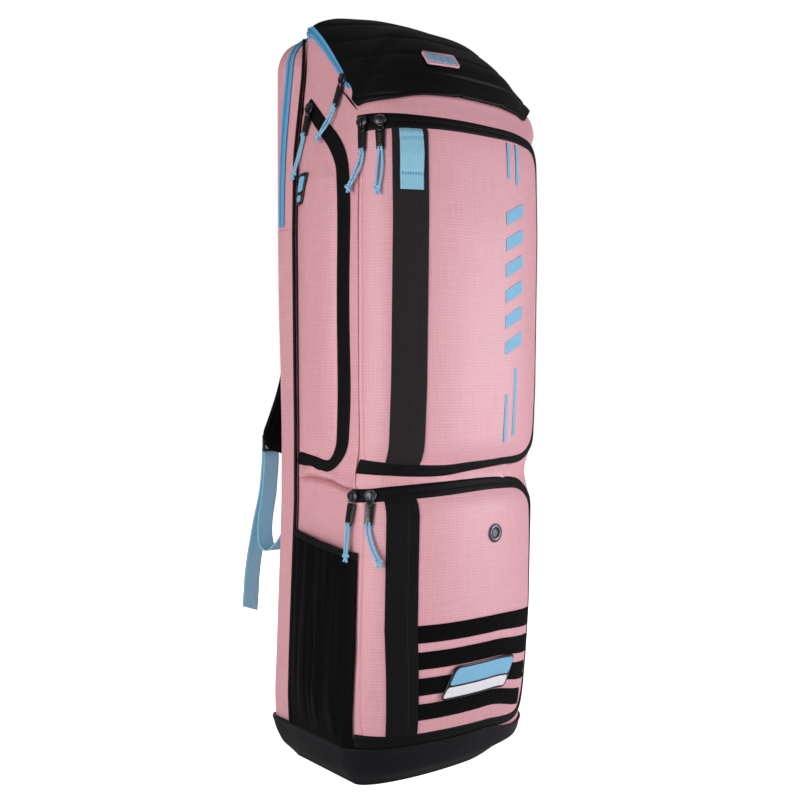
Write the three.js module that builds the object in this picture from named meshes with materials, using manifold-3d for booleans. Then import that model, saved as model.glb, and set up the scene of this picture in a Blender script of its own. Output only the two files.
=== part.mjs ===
// A tall hockey stick bag: a D-shaped body on a coated foot, a padded lid, two front pockets,
// a stick compartment down the back and a pair of shoulder straps.
// Millimetres. The origin is the middle of the flat underside, +Z is up, the front faces -Y
// and the shoulder straps are on +Y.
import * as THREE from 'three';
import { mergeVertices } from 'three/addons/utils/BufferGeometryUtils.js';
import Module from 'manifold-3d';

const wasm = await Module();
wasm.setup();

// Thicknesses and clearances
const GAP = 0.3;
const BOOT_GAP = 0.5;
const WALL = 2.5;
const DOOR_WALL = 2;
const TRIM_LIFT = 0.8;
const TRIM_THICK = 1.5;
const WEBBING_THICK = 2;
const LID_THICK = 5;

// Plan of the body
const SIDE_FRONT = -45;
const BODY_BACK = 66;
const BACK_CORNER = 6;
const STICK_DEPTH = 44;
const STICK_HALF = 152.5;
const STICK_HALF_LOW = 149.5;
const STICK_TOP = 966;
const STICK_CORNER = 50;
const BAG_BACK = BODY_BACK + STICK_DEPTH;
const POCKET_BACK = -70;

// Heights
const BODY_BOTTOM = 44;
const BOOT_RIM = 50;
const LID_ZIP_HIGH = 21;
const LID_ZIP_FRONT = -46;
const LID_SEAM = 1.5;

// How the soft bag settles at each height: how far it leans to the right and how far its back bellies out
const SETTLE = [
  { z: 90, lean: -8, belly: 5 },
  { z: 345, lean: 0, belly: 0 },
  { z: 420, lean: 0, belly: 0 },
  { z: 700, lean: 0, belly: 4 },
];

// How finely sections are divided
const LOFT_STEPS = 9;
const SKIN_STEPS = 48;
const CORNER_STEPS = 2;
const BODY_LEVELS = [44, 90, 200, 345, 363, 382, 401, 420, 500, 700, 800, 865, 905, 1010];

// The outline at each height: half the width, how far the rounded front stands out past the flat
// sides, how square its corners are (2 is an ellipse) and how far the edge tucks in under the bag.
const OUTLINE = [
  { z: 0, half: 124, bulge: 27, square: 2.0, tuck: 32 },
  { z: 8, half: 136, bulge: 42, square: 2.0, tuck: 18 },
  { z: 22, half: 143.5, bulge: 52, square: 2.0, tuck: 7 },
  { z: 42, half: 147.5, bulge: 61, square: 1.95, tuck: 0 },
  { z: 90, half: 149.5, bulge: 73, square: 2.0, tuck: 0 },
  { z: 140, half: 150, bulge: 79.5, square: 2.05, tuck: 0 },
  { z: 200, half: 150, bulge: 84, square: 2.1, tuck: 0 },
  { z: 345, half: 149.5, bulge: 81.5, square: 2.15, tuck: 0 },
  { z: 363, half: 147, bulge: 74, square: 2.15, tuck: 0 },
  { z: 382, half: 143, bulge: 67, square: 2.15, tuck: 0 },
  { z: 401, half: 146.5, bulge: 75.5, square: 2.25, tuck: 0 },
  { z: 420, half: 149, bulge: 82.5, square: 2.35, tuck: 0 },
  { z: 500, half: 149.5, bulge: 87, square: 2.4, tuck: 0 },
  { z: 700, half: 150, bulge: 90.5, square: 2.45, tuck: 0 },
  { z: 800, half: 148, bulge: 89, square: 2.45, tuck: 0 },
  { z: 865, half: 140, bulge: 82, square: 2.2, tuck: 0 },
  { z: 905, half: 135, bulge: 78, square: 2.15, tuck: 0 },
  { z: 1010, half: 130, bulge: 70, square: 2.1, tuck: 0 },
];

// The stick compartment's walls from the body to its back: depth, inset of the edge, and how far it has
// spread from the body's width to its own.
const STICK_WIDENS = { from: 400, to: 700 };
const STICK_LEVELS = [90, 345, 363, 382, 401, 420, 700, 800, 865];
const STICK_SHELL = [
  { y: BODY_BACK + GAP, inset: 0, spread: 0 },
  { y: BODY_BACK + 12, inset: 0, spread: 0.6 },
  { y: BODY_BACK + 24, inset: 0, spread: 1 },
  { y: BAG_BACK - 5, inset: 0.4, spread: 1 },
  { y: BAG_BACK - 1.5, inset: 2.1, spread: 1 },
  { y: BAG_BACK, inset: 6, spread: 1 },
];
const STICK_HOLLOW = [
  { y: BODY_BACK - 10, inset: WALL, spread: 0 },
  { y: BODY_BACK + 12, inset: WALL, spread: 0.6 },
  { y: BODY_BACK + 24, inset: WALL, spread: 1 },
  { y: BAG_BACK - 5, inset: WALL, spread: 1 },
  { y: BAG_BACK - WALL, inset: WALL + 4, spread: 1 },
];
const STICK_ZIP = { width: 11, steps: 6 };

// The depth of the stick zip's middle at each height, from its low end up to where the top rounds off,
// and how far it stands off the wall.
const STICK_ZIP_DEPTH = [
  { z: 709, y: 92.5, seat: 0.8 },
  { z: 800, y: 89.5, seat: 1.5 },
  { z: 865, y: 84.5, seat: 1.4 },
  { z: 916, y: 81, seat: 1.3 },
];

// The lid from back to front: the height of its lower edge and of its crown at each depth.
const LID_PROFILE = [
  { y: 66, rim: 970, crown: 972 },
  { y: 61, rim: 970, crown: 991 },
  { y: 50, rim: 967, crown: 991 },
  { y: 25, rim: 943, crown: 984 },
  { y: 0, rim: 915, crown: 974 },
  { y: -22, rim: 890, crown: 964 },
  { y: -44, rim: 866, crown: 954 },
  { y: -58.5, rim: 841.5, crown: 943.5 },
  { y: -90, rim: 847, crown: 918 },
  { y: -113, rim: 851, crown: 896 },
  { y: -123, rim: 853, crown: 874 },
  { y: -127, rim: 854, crown: 855 },
];
const LID_ARCH = 3.2;
const LID_PADS = 5;
const LID_PAD_RISE = 2.5;
const LID_FRONT = { from: 60, to: 120 };
const LID_ROWS = 16;
const LID_COLS = 10;

// The front pockets: openings in the front of the body, square at the hinge and rounded at the right
const UPPER = { bottom: 392, top: 817, right: 140, lowCorner: 58, highCorner: 40 };
const LOWER = { bottom: 44, top: 367, right: 140, lowCorner: 8, highCorner: 48 };

// Zips along the skin: distance round the bag from the middle of the front, height and tape width.
const UPPER_ZIP = [
  { s: -174, z: 816, width: 22 },
  { s: -150, z: 816, width: 21 },
  { s: -126, z: 816, width: 19 },
  { s: -90, z: 816, width: 16 },
  { s: 0, z: 817, width: 14 },
  { s: 70, z: 817, width: 13 },
  { s: 112, z: 810, width: 13 },
  { s: 138, z: 780, width: 13 },
  { s: 144, z: 720, width: 13 },
  { s: 145, z: 600, width: 13 },
  { s: 143, z: 490, width: 13 },
  { s: 134, z: 436, width: 13 },
  { s: 104, z: 405, width: 12 },
  { s: 40, z: 398.5, width: 10 },
  { s: -10, z: 395, width: 12 },
  { s: -55, z: 391.5, width: 14 },
  { s: -126, z: 395, width: 16 },
  { s: -150, z: 397, width: 17 },
  { s: -167, z: 398, width: 18 },
];
const LOWER_ZIP = [
  { s: -172, z: 361.5, width: 16 },
  { s: -146, z: 363, width: 16 },
  { s: -124, z: 365, width: 17 },
  { s: -50, z: 369, width: 17 },
  { s: 40, z: 371, width: 15 },
  { s: 95, z: 364, width: 14 },
  { s: 124, z: 340, width: 13 },
  { s: 136, z: 300, width: 13 },
  { s: 142, z: 200, width: 13 },
  { s: 138, z: 110, width: 13 },
  { s: 118, z: 72, width: 12 },
  { s: 70, z: 60, width: 11 },
  { s: -40, z: 60, width: 13 },
  { s: -120, z: 60, width: 15 },
  { s: -138, z: 60.5, width: 16 },
  { s: -153, z: 61, width: 17 },
];

// The side zip on the left: depth, height and tape width
const SIDE_ZIP = [
  { y: 50, z: 865, width: 20 },
  { y: 35, z: 850, width: 21 },
  { y: 10, z: 826, width: 22 },
  { y: -18, z: 800, width: 24 },
  { y: -33, z: 775, width: 25 },
  { y: -38, z: 740, width: 26 },
  { y: -38.5, z: 600, width: 26 },
  { y: -38, z: 450, width: 26 },
  { y: -30, z: 415, width: 24 },
  { y: -5, z: 396, width: 20 },
  { y: 30, z: 399, width: 16 },
  { y: 55, z: 402.5, width: 15 },
];
const SIDE_POCKET = { back: 58, front: -23.8, bottom: 411, top: 846 };
const SIDE_SWELL = { rise: 7, flatUp: 6, flatAcross: 3 };
const SIDE_POCKET_LEVELS = [411, 420, 442, 475, 540, 625, 700, 748, 784, 815, 846];
const SIDE_POCKET_SLANT = { from: 758, front: 50 };
const SIDE_POCKET_ROUND = { from: 442, front: -5 };

// The mesh pocket on the left
const MESH = { back: 58, frontLow: -60.5, frontHigh: -68, bottom: 51, topBack: 304, topFront: 287 };
const MESH_BULGE = { rise: 10, folds: 4, fold: 1.2, round: 0.7, foot: 4, slack: 0.45 };
const MESH_WALL = 1.6;
const MESH_ROWS = 6;
const MESH_COLS = 16;
const BINDING_OVER = 0.4;
const BINDING_HIGH = 11;

// Trim on the front: its two edges round the bag and its heights; the low webbing drifts to the right
// below one height, by a share of the way down
const DRIFT_BELOW = 200;
const WEBBING_DRIFT = 0.1;
const WEBBING_UPPER = { left: -131, right: -87, levels: [404, 411, 420, 440, 475, 540, 620, 700, 760, 803] };
const WEBBING_LOWER = {
  left: -132,
  right: -91.5,
  levels: [71, 90, 115, 140, 170, 200, 260, 310, 335, 345, 353],
  drift: WEBBING_DRIFT,
};
const FRONT_LOOP = { left: -122, right: -94, levels: [733, 747, 761, 775, 789, 803] };
const LOOP_BACK = 3.1;
const LOOP_THICK = 2.4;
const LOOP_BOW = 2;
const HOOK_STRIPS = [
  { bottom: 182, top: 204, right: 118 },
  { bottom: 149, top: 171, right: 118 },
  { bottom: 116, top: 138, right: 116 },
  { bottom: 84, top: 105, right: 106 },
];
const HOOK_SPAN = { left: -91, drop: 9, dropFrom: 0.35, cols: 12 };
const PATCH = { left: -45, right: 66, bottom: 106, top: 148, lean: 9, lift: 3, thick: 2 };
const EYELET = { s: 26, z: 308, outer: 12, hole: 5.5, thick: 2.2 };
const BADGE = { x: -52.2, y: -108.2, width: 43.5, deep: 14, slant: -10.8, thick: 1.5 };
const TAG = { y: 42, z: 751, width: 18, high: 40, lean: 6, thick: 2, seat: 0.5 };
const PIPING = { radius: 2.2, sides: 6, lift: 2.9, bottom: 52, top: 955 };

// Zip pulls: place on the skin, the seat above it, the slider's turn, how the tab leans sideways and
// tilts out from the cloth, and how far the cord drifts sideways and drops to its knot.
const SLIDER = { width: 9, high: 14, thick: 4.5, corner: 2.5 };
const TAB = { width: 9, high: 28, thick: 2.6, corner: 3, below: 1.3, out: 0.4 };
const CORD = { radius: 1.3, spread: 1.45, bow: 0.8, swing: 1.6, sides: 8, steps: 10, knot: 4 };
const PULLS = [
  { name: 'upper_left', s: -165, z: 816, seat: 3.1, turn: 0, lean: 2, tilt: 1, drift: -20, drop: 40 },
  { name: 'upper_right', s: -143, z: 816, seat: 3.2, turn: 0, lean: 2, tilt: 1, drift: -5, drop: 46 },
  { name: 'lower_left', s: -169, z: 361, seat: 3.2, turn: 0, lean: -5, tilt: 5, drift: 4, drop: 36 },
  { name: 'lower_right', s: -146, z: 363, seat: 3.6, turn: 0, lean: -3, tilt: 4, drift: 18, drop: 42 },
  { name: 'lid', y: -24, z: 880, seat: 1, turn: -42, lean: -12, tilt: 5, drift: -17, drop: 37 },
  { name: 'side', y: 41, z: 856, seat: 3, turn: -45, lean: -5, tilt: 5, drift: -6, drop: 50 },
];

// Shoulder straps, left side; the right one is its mirror image
const PAD_ROUTE = [
  { x: -62, y: 116.6, z: 895 },
  { x: -64, y: 117.5, z: 850 },
  { x: -68, y: 121, z: 780 },
  { x: -75, y: 128, z: 690 },
  { x: -84, y: 134, z: 595 },
  { x: -97, y: 141, z: 500 },
  { x: -109, y: 150, z: 450 },
  { x: -124, y: 158, z: 404 },
];
const PAD = { half: 31, thick: 12, rows: 11, sides: 8, squareAcross: 0.5, squareDeep: 0.6 };
const PAD_END = { from: 0.93, narrows: 0.25 };
const BUCKLE = { x: -125, y: 164.6, z: 416, width: 40, high: 30, thick: 5, slot: 5, bar: 4 };
const STRAP_WEBBING = 24;
const WEBBING_ROUTE = [
  { x: -127, y: 166, z: 399 },
  { x: -131, y: 167, z: 350 },
  { x: -137, y: 166, z: 300 },
  { x: -139, y: 155, z: 273 },
  { x: -137, y: 138, z: 268 },
  { x: -130, y: 123, z: 282 },
  { x: -122, y: 114, z: 308 },
  { x: -118, y: 111.9, z: 335 },
];
const TAIL_ROUTE = [
  { x: -128, y: 168.6, z: 399.9 },
  { x: -132, y: 172, z: 350 },
  { x: -140, y: 175, z: 300 },
  { x: -147, y: 177, z: 245 },
  { x: -151, y: 176, z: 184 },
];

// Materials
function finish(color, roughness, metalness = 0) {
  return new THREE.MeshStandardMaterial({ color, roughness, metalness });
}
const PINK_CLOTH = finish(0xe9a9b6, 0.85);
const BLACK_CLOTH = finish(0x141417, 0.7);
const BOOT_CLOTH = finish(0x26242a, 0.6);
const BLACK_ZIP = finish(0x17171a, 0.6);
const BLUE_ZIP = finish(0x5b9ac4, 0.7);
const BLACK_WEBBING = finish(0x323034, 0.8);
const BLUE_WEBBING = finish(0x6fa9cf, 0.8);
const MESH_CLOTH = finish(0x1c1b1e, 0.8);
const HOOK_TAPE = finish(0x0a0a0b, 0.95);
const BLUE_CORD = finish(0x86bede, 0.8);
const BLACK_PLASTIC = finish(0x161618, 0.45);
const BLACK_METAL = finish(0x1d1d20, 0.4, 0.8);
const PATCH_RUBBER = finish(0x2f86bd, 0.6);
const BADGE_RUBBER = finish(0xe9a9b6, 0.6);

const bag = new THREE.Group();

// The columns of a table at a height, between its rows.
function rowAt(table, z) {
  let i = 0;
  while (i < table.length - 2 && table[i + 1].z < z) {
    i += 1;
  }
  const [low, high] = [table[i], table[i + 1]];
  const t = THREE.MathUtils.clamp((z - low.z) / (high.z - low.z), 0, 1);
  const mixed = Object.keys(low).map((key) => [key, THREE.MathUtils.lerp(low[key], high[key], t)]);
  return Object.fromEntries(mixed);
}

// The soft bag settles: its foot leans to the left, and its back bellies out at the foot and the top.
function settle(geometry) {
  const places = geometry.attributes.position;
  const point = new THREE.Vector3();
  for (let i = 0; i < places.count; i += 1) {
    point.fromBufferAttribute(places, i);
    const { lean, belly } = rowAt(SETTLE, point.z);
    const behind = THREE.MathUtils.smoothstep(point.y, 0, BAG_BACK);
    places.setXYZ(i, point.x + lean, point.y + belly * behind, point.z);
  }
}

function add(name, geometry, material) {
  settle(geometry);
  geometry.computeVertexNormals();
  const mesh = new THREE.Mesh(geometry, material);
  mesh.name = name;
  bag.add(mesh);
  return mesh;
}

// A closed body from points and triangles, turned so that its faces point outwards.
function closedBody(points, triangles) {
  let volume = 0;
  for (let i = 0; i < triangles.length; i += 3) {
    const [a, b, c] = [points[triangles[i]], points[triangles[i + 1]], points[triangles[i + 2]]];
    volume += a.dot(b.clone().cross(c));
  }
  const index = volume > 0 ? triangles : triangles.slice().reverse();
  const geometry = new THREE.BufferGeometry().setFromPoints(points);
  geometry.setIndex(index);
  return geometry;
}

// A sheet with thickness: two grids of points, joined round their edges.
function slab(rows, cols, outer, inner) {
  const points = [];
  for (const face of [outer, inner]) {
    for (let i = 0; i <= rows; i += 1) {
      for (let j = 0; j <= cols; j += 1) {
        points.push(face(i / rows, j / cols));
      }
    }
  }
  const at = (face, i, j) => (face * (rows + 1) + i) * (cols + 1) + j;
  const triangles = [];
  const quad = (a, b, c, d) => triangles.push(a, b, c, a, c, d);
  for (let i = 0; i < rows; i += 1) {
    for (let j = 0; j < cols; j += 1) {
      quad(at(0, i, j), at(0, i, j + 1), at(0, i + 1, j + 1), at(0, i + 1, j));
      quad(at(1, i, j), at(1, i + 1, j), at(1, i + 1, j + 1), at(1, i, j + 1));
    }
    quad(at(0, i, 0), at(0, i + 1, 0), at(1, i + 1, 0), at(1, i, 0));
    quad(at(0, i, cols), at(1, i, cols), at(1, i + 1, cols), at(0, i + 1, cols));
  }
  for (let j = 0; j < cols; j += 1) {
    quad(at(0, 0, j), at(1, 0, j), at(1, 0, j + 1), at(0, 0, j + 1));
    quad(at(0, rows, j), at(0, rows, j + 1), at(1, rows, j + 1), at(1, rows, j));
  }
  return closedBody(points, triangles);
}

// A solid skinned over a stack of closed loops of an even number of points, with a cap at each end.
function loft(loops) {
  const count = loops[0].length;
  const points = loops.flat();
  const triangles = [];
  for (let i = 0; i < loops.length - 1; i += 1) {
    for (let j = 0; j < count; j += 1) {
      const next = (j + 1) % count;
      const [a, b] = [i * count + j, i * count + next];
      triangles.push(a, b, b + count, a, b + count, a + count);
    }
  }
  const cap = (first, flip) => {
    const face = (a, b, c) => triangles.push(first + a, first + (flip ? c : b), first + (flip ? b : c));
    for (let j = 0; j < count / 2 - 1; j += 1) {
      const [a, b, c, d] = [j, j + 1, count - 2 - j, count - 1 - j];
      face(a, b, d);
      if (b !== c) {
        face(b, c, d);
      }
    }
  };
  cap(0, true);
  cap((loops.length - 1) * count, false);
  return closedBody(points, triangles);
}

// Joining and cutting
function solid(geometry) {
  const bare = geometry.clone();
  bare.deleteAttribute('normal');
  bare.deleteAttribute('uv');
  const merged = mergeVertices(bare, 1e-4);
  const vertProperties = new Float32Array(merged.attributes.position.array);
  const triVerts = new Uint32Array(merged.index.array);
  return new wasm.Manifold(new wasm.Mesh({ numProp: 3, vertProperties, triVerts }));
}

function geometryOf(body) {
  const mesh = body.getMesh();
  const geometry = new THREE.BufferGeometry();
  geometry.setAttribute('position', new THREE.BufferAttribute(new Float32Array(mesh.vertProperties), 3));
  geometry.setIndex(new THREE.BufferAttribute(new Uint32Array(mesh.triVerts), 1));
  return geometry;
}

// Half of a section, from the middle of the front round the right side to the middle of the back.
function halfSection(z, lift, back, steps) {
  const { half, bulge, square, tuck } = rowAt(OUTLINE, z);
  const points = [];
  for (let i = 0; i <= steps; i += 1) {
    const angle = (Math.PI / 2) * (i / steps);
    const x = (half + lift) * Math.sin(angle) ** (2 / square);
    const y = SIDE_FRONT - (bulge + lift) * Math.abs(Math.cos(angle)) ** (2 / square);
    points.push(new THREE.Vector2(x, y));
  }
  const radius = BACK_CORNER + lift;
  const [cornerX, cornerY] = [half - BACK_CORNER, back - tuck - BACK_CORNER];
  for (let i = 0; i <= CORNER_STEPS; i += 1) {
    const angle = (Math.PI / 2) * (i / CORNER_STEPS);
    points.push(new THREE.Vector2(cornerX + radius * Math.cos(angle), cornerY + radius * Math.sin(angle)));
  }
  points.push(new THREE.Vector2(0, back - tuck + lift));
  return points;
}

function sectionLoop(z, lift, back) {
  const right = halfSection(z, lift, back, LOFT_STEPS);
  const left = right.slice(1, -1).reverse().map((point) => new THREE.Vector2(-point.x, point.y));
  return right.concat(left).map((point) => new THREE.Vector3(point.x, point.y, z));
}

function bagLoft(heights, lift, back) {
  return loft(heights.map((z) => sectionLoop(z, lift, back)));
}

// A point on the skin, a distance s round the bag from the middle of the front (left is minus).
function skinPoint(s, z, lift) {
  const base = halfSection(z, 0, BODY_BACK, SKIN_STEPS);
  const lifted = halfSection(z, lift, BODY_BACK, SKIN_STEPS);
  let rest = Math.abs(s);
  let i = 0;
  let span = base[0].distanceTo(base[1]);
  while (rest > span && i < base.length - 2) {
    rest -= span;
    i += 1;
    span = base[i].distanceTo(base[i + 1]);
  }
  const point = lifted[i].clone().lerp(lifted[i + 1], rest / span);
  return new THREE.Vector3(Math.sign(s) * point.x, point.y, z);
}

// How far round the bag the skin reaches a given depth, or a given width on the front.
function arcTo(axis, value, z) {
  const base = halfSection(z, 0, BODY_BACK, SKIN_STEPS);
  let arc = 0;
  for (let i = 0; i < base.length - 1; i += 1) {
    const [a, b] = [base[i], base[i + 1]];
    const span = a.distanceTo(b);
    if (b[axis] >= value) {
      return arc + (span * (value - a[axis])) / (b[axis] - a[axis]);
    }
    arc += span;
  }
  return arc;
}

// Half the width of the skin at a depth.
function widthAt(y, z, lift) {
  const points = halfSection(z, lift, BODY_BACK, SKIN_STEPS);
  for (let i = 0; i < points.length - 2; i += 1) {
    const [a, b] = [points[i], points[i + 1]];
    if (b.y >= y) {
      return THREE.MathUtils.lerp(a.x, b.x, THREE.MathUtils.clamp((y - a.y) / (b.y - a.y), 0, 1));
    }
  }
  return points[points.length - 2].x;
}

// A strip of tape laid on the skin along a route of places round the bag, heights and widths.
function tape(route, rows, cols, low, high) {
  const curve = new THREE.CatmullRomCurve3(
    route.map((row) => new THREE.Vector3(row.s, row.z, row.width)), false, 'centripetal');
  const place = (u, v, lift) => {
    const at = curve.getPoint(u);
    const along = curve.getTangent(u).setZ(0).normalize();
    const across = (v - 0.5) * at.z;
    return skinPoint(at.x - along.y * across, at.y + along.x * across, lift);
  };
  return slab(rows, cols, (u, v) => place(u, v, high), (u, v) => place(u, v, low));
}

// How far trim has drifted to the right at a height.
function driftAt(z, drift) {
  return drift * Math.max(0, DRIFT_BELOW - z);
}

// A flat strip of trim between two places round the bag, up a list of heights.
function trim({ left, right, levels, drift = 0 }, cols, low, high) {
  const rows = levels.length - 1;
  const place = (u, v, lift) => {
    const z = levels[Math.round(u * rows)];
    return skinPoint(THREE.MathUtils.lerp(left, right, v) + driftAt(z, drift), z, lift);
  };
  return slab(rows, cols, (u, v) => place(u, v, high(u)), (u, v) => place(u, v, low(u)));
}

// Axes at a place on the skin: right, up and outwards as seen from outside.
function seatAxes(s, z, lift, turn) {
  const hang = 80;
  const origin = skinPoint(s, z, lift);
  const right = skinPoint(s + 1, z, lift).sub(skinPoint(s - 1, z, lift)).normalize();
  const down = skinPoint(s, z - hang, lift).sub(origin).normalize();
  const out = right.clone().cross(down).negate().normalize();
  const frame = new THREE.Matrix4().makeBasis(right, out.clone().cross(right), out).setPosition(origin);
  return frame.multiply(new THREE.Matrix4().makeRotationZ(THREE.MathUtils.degToRad(turn)));
}

function roundedRect(width, high, radius) {
  const [x, y] = [width / 2, high / 2];
  const shape = new THREE.Shape();
  shape.absarc(x - radius, -y + radius, radius, -Math.PI / 2, 0);
  shape.absarc(x - radius, y - radius, radius, 0, Math.PI / 2);
  shape.absarc(-x + radius, y - radius, radius, Math.PI / 2, Math.PI);
  shape.absarc(-x + radius, -y + radius, radius, Math.PI, Math.PI * 1.5);
  return shape;
}

function plate(shape, depth, curveSegments = 4) {
  return new THREE.ExtrudeGeometry(shape, { depth, bevelEnabled: false, curveSegments });
}

// An outline in X and Z, carried from the front of the pockets back to a depth.
function frontPrism(shape, back) {
  const depth = 150;
  const prism = plate(shape, depth, 8);
  prism.rotateX(Math.PI / 2);
  prism.translate(0, back, 0);
  return prism;
}

function pocketOutline({ bottom, top, right, lowCorner, highCorner }, grow) {
  const outside = -200;
  const [low, high, edge] = [bottom - grow, top + grow, right + grow];
  const shape = new THREE.Shape();
  shape.moveTo(outside, low);
  shape.lineTo(edge - lowCorner, low);
  shape.absarc(edge - lowCorner, low + lowCorner, lowCorner, -Math.PI / 2, 0);
  shape.absarc(edge - highCorner, high - highCorner, highCorner, 0, Math.PI / 2);
  shape.lineTo(outside, high);
  return shape;
}

// The lid's edge and crown
const lidCurve = new THREE.CatmullRomCurve3(
  LID_PROFILE.map((row) => new THREE.Vector3(row.y, row.rim, row.crown)), false, 'centripetal');

function rimAt(y) {
  let i = 0;
  while (i < LID_PROFILE.length - 2 && LID_PROFILE[i + 1].y > y) {
    i += 1;
  }
  const [back, front] = [LID_PROFILE[i], LID_PROFILE[i + 1]];
  const t = THREE.MathUtils.clamp((back.y - y) / (back.y - front.y), 0, 1);
  return THREE.MathUtils.lerp(back.rim, front.rim, t);
}

// Everything above the top edge of the body: lower along the zip, which starts behind the corner.
function aboveRim() {
  const shape = new THREE.Shape();
  const [front, back, roof] = [-150, 90, 1100];
  shape.moveTo(front, rimAt(front) - LID_SEAM);
  for (const row of LID_PROFILE.slice().reverse()) {
    if (row.y < LID_ZIP_FRONT) {
      shape.lineTo(row.y, row.rim - LID_SEAM);
    }
  }
  shape.lineTo(LID_ZIP_FRONT, rimAt(LID_ZIP_FRONT) - LID_SEAM);
  shape.lineTo(LID_ZIP_FRONT, rimAt(LID_ZIP_FRONT) - LID_SEAM - LID_ZIP_HIGH);
  for (const row of LID_PROFILE.slice().reverse()) {
    if (row.y > LID_ZIP_FRONT) {
      shape.lineTo(row.y, row.rim - LID_SEAM - LID_ZIP_HIGH);
    }
  }
  shape.lineTo(back, rimAt(back) - LID_SEAM - LID_ZIP_HIGH);
  shape.lineTo(back, roof);
  shape.lineTo(front, roof);
  const depth = 400;
  const prism = plate(shape, depth);
  const axes = [new THREE.Vector3(0, 1, 0), new THREE.Vector3(0, 0, 1), new THREE.Vector3(1, 0, 0)];
  prism.applyMatrix4(new THREE.Matrix4().makeBasis(...axes));
  prism.translate(-depth / 2, 0, 0);
  return prism;
}

function makeBoot() {
  const heights = OUTLINE.map((row) => row.z).filter((z) => z < BOOT_RIM).concat(BOOT_RIM);
  const outer = bagLoft(heights, BOOT_GAP + WALL, BAG_BACK);
  const inside = heights.map((z) => Math.max(z, WALL)).concat(BOOT_RIM + 10);
  const inner = bagLoft(inside, BOOT_GAP, BAG_BACK);
  return geometryOf(solid(outer).subtract(solid(inner)));
}

function makeBody() {
  const outer = solid(bagLoft(BODY_LEVELS, 0, BODY_BACK))
    .subtract(solid(frontPrism(pocketOutline(UPPER, 0), POCKET_BACK)))
    .subtract(solid(frontPrism(pocketOutline({ ...LOWER, bottom: 0 }, 0), POCKET_BACK)))
    .subtract(solid(aboveRim()));
  const past = 10;
  const last = BODY_LEVELS.length - 1;
  const through = BODY_LEVELS.map((z, i) => z - past * (i === 0) + past * (i === last));
  const inner = solid(bagLoft(through, -WALL, BODY_BACK))
    .subtract(solid(frontPrism(pocketOutline(UPPER, WALL), POCKET_BACK + WALL)))
    .subtract(solid(frontPrism(pocketOutline({ ...LOWER, bottom: 0 }, WALL), POCKET_BACK + WALL)));
  return geometryOf(outer.subtract(inner));
}

// A pocket door: the front wall over its opening, with the two round corners on the right.
function makeDoor(pocket) {
  const rows = 11;
  const cols = 10;
  const { bottom, top, right, lowCorner, highCorner } = pocket;
  const rounding = (reach, radius) => {
    const past = Math.max(radius - reach, 0);
    return radius - Math.sqrt(radius * radius - past * past);
  };
  const place = (u, v, lift) => {
    const rise = (1 - Math.cos(Math.PI * u)) / 2;
    const z = THREE.MathUtils.lerp(bottom + GAP, top - GAP, rise);
    const edge = right - GAP - Math.max(rounding(z - bottom, lowCorner), rounding(top - z, highCorner));
    const hinge = arcTo('y', POCKET_BACK - GAP, z);
    const to = Math.min(arcTo('x', edge, z), hinge);
    const point = skinPoint(THREE.MathUtils.lerp(-hinge, to, v), z, lift);
    return point.setY(Math.min(point.y, POCKET_BACK - GAP));
  };
  return slab(rows, cols, (u, v) => place(u, v, 0), (u, v) => place(u, v, -DOOR_WALL));
}

// A place on the lid: u goes from the back to the front, across from the left edge (-1) to the right.
function lidPoint(u, across, thick) {
  const { x: y, z: crown } = lidCurve.getPoint(u);
  const rim = rimAt(y);
  const arch = 1 - Math.abs(across) ** LID_ARCH;
  const pads = Math.abs(Math.sin(Math.PI * LID_PADS * u)) - 1;
  const z = rim + Math.max(crown - rim + LID_PAD_RISE * pads, 0) * arch + thick;
  const inward = 1 - thick / LID_THICK;
  const front = LID_THICK * THREE.MathUtils.smoothstep(-y, LID_FRONT.from, LID_FRONT.to);
  const x = across * (widthAt(y, rim, 0) - inward * LID_THICK / 2);
  return new THREE.Vector3(x, y + inward * front, z);
}

function makeLid() {
  const face = (thick) => (u, v) => lidPoint(u, 2 * v - 1, thick);
  return slab(LID_ROWS, LID_COLS, face(LID_THICK), face(0));
}

// The zip under the lid: along the left side, round the back and along the right side.
function makeLidZip() {
  const corner = BODY_BACK - BACK_CORNER;
  const bends = LID_PROFILE.map((row) => row.y).filter((y) => y > LID_ZIP_FRONT && y < corner);
  const plan = [LID_ZIP_FRONT + GAP, ...bends.reverse(), corner, corner + BACK_CORNER * 0.8];
  const edge = (y, below, lift) => {
    const z = rimAt(y) - LID_SEAM - below;
    return new THREE.Vector3(-widthAt(y, z, lift), y + lift * Math.max(0, (y - corner) / BACK_CORNER), z);
  };
  const backHalf = rowAt(OUTLINE, LID_PROFILE[0].rim).half - BACK_CORNER;
  const point = (k, below, lift) => {
    if (k < plan.length) {
      return edge(plan[k], below, lift);
    }
    return new THREE.Vector3(-backHalf, BODY_BACK + lift, LID_PROFILE[0].rim - LID_SEAM - below);
  };
  const last = plan.length;
  const rows = 2 * last + 1;
  const place = (u, v, lift) => {
    const k = Math.round(u * rows);
    const below = v * (LID_ZIP_HIGH - LID_SEAM);
    const found = point(Math.min(k, rows - k), below, lift);
    return k <= last ? found : found.setX(-found.x);
  };
  return slab(rows, 1, (u, v) => place(u, v, 0), (u, v) => place(u, v, -WALL));
}

// How much of its full width the stick compartment has at a height, as its wall spreads.
function stickShare(z, spread) {
  const atBody = rowAt(OUTLINE, z).half;
  const risen = THREE.MathUtils.smoothstep(z, STICK_WIDENS.from, STICK_WIDENS.to);
  const full = THREE.MathUtils.lerp(STICK_HALF_LOW, STICK_HALF, risen);
  const atBack = z < STICK_LEVELS[0] ? atBody : full;
  return THREE.MathUtils.lerp(atBody, atBack, spread) / STICK_HALF;
}

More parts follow.
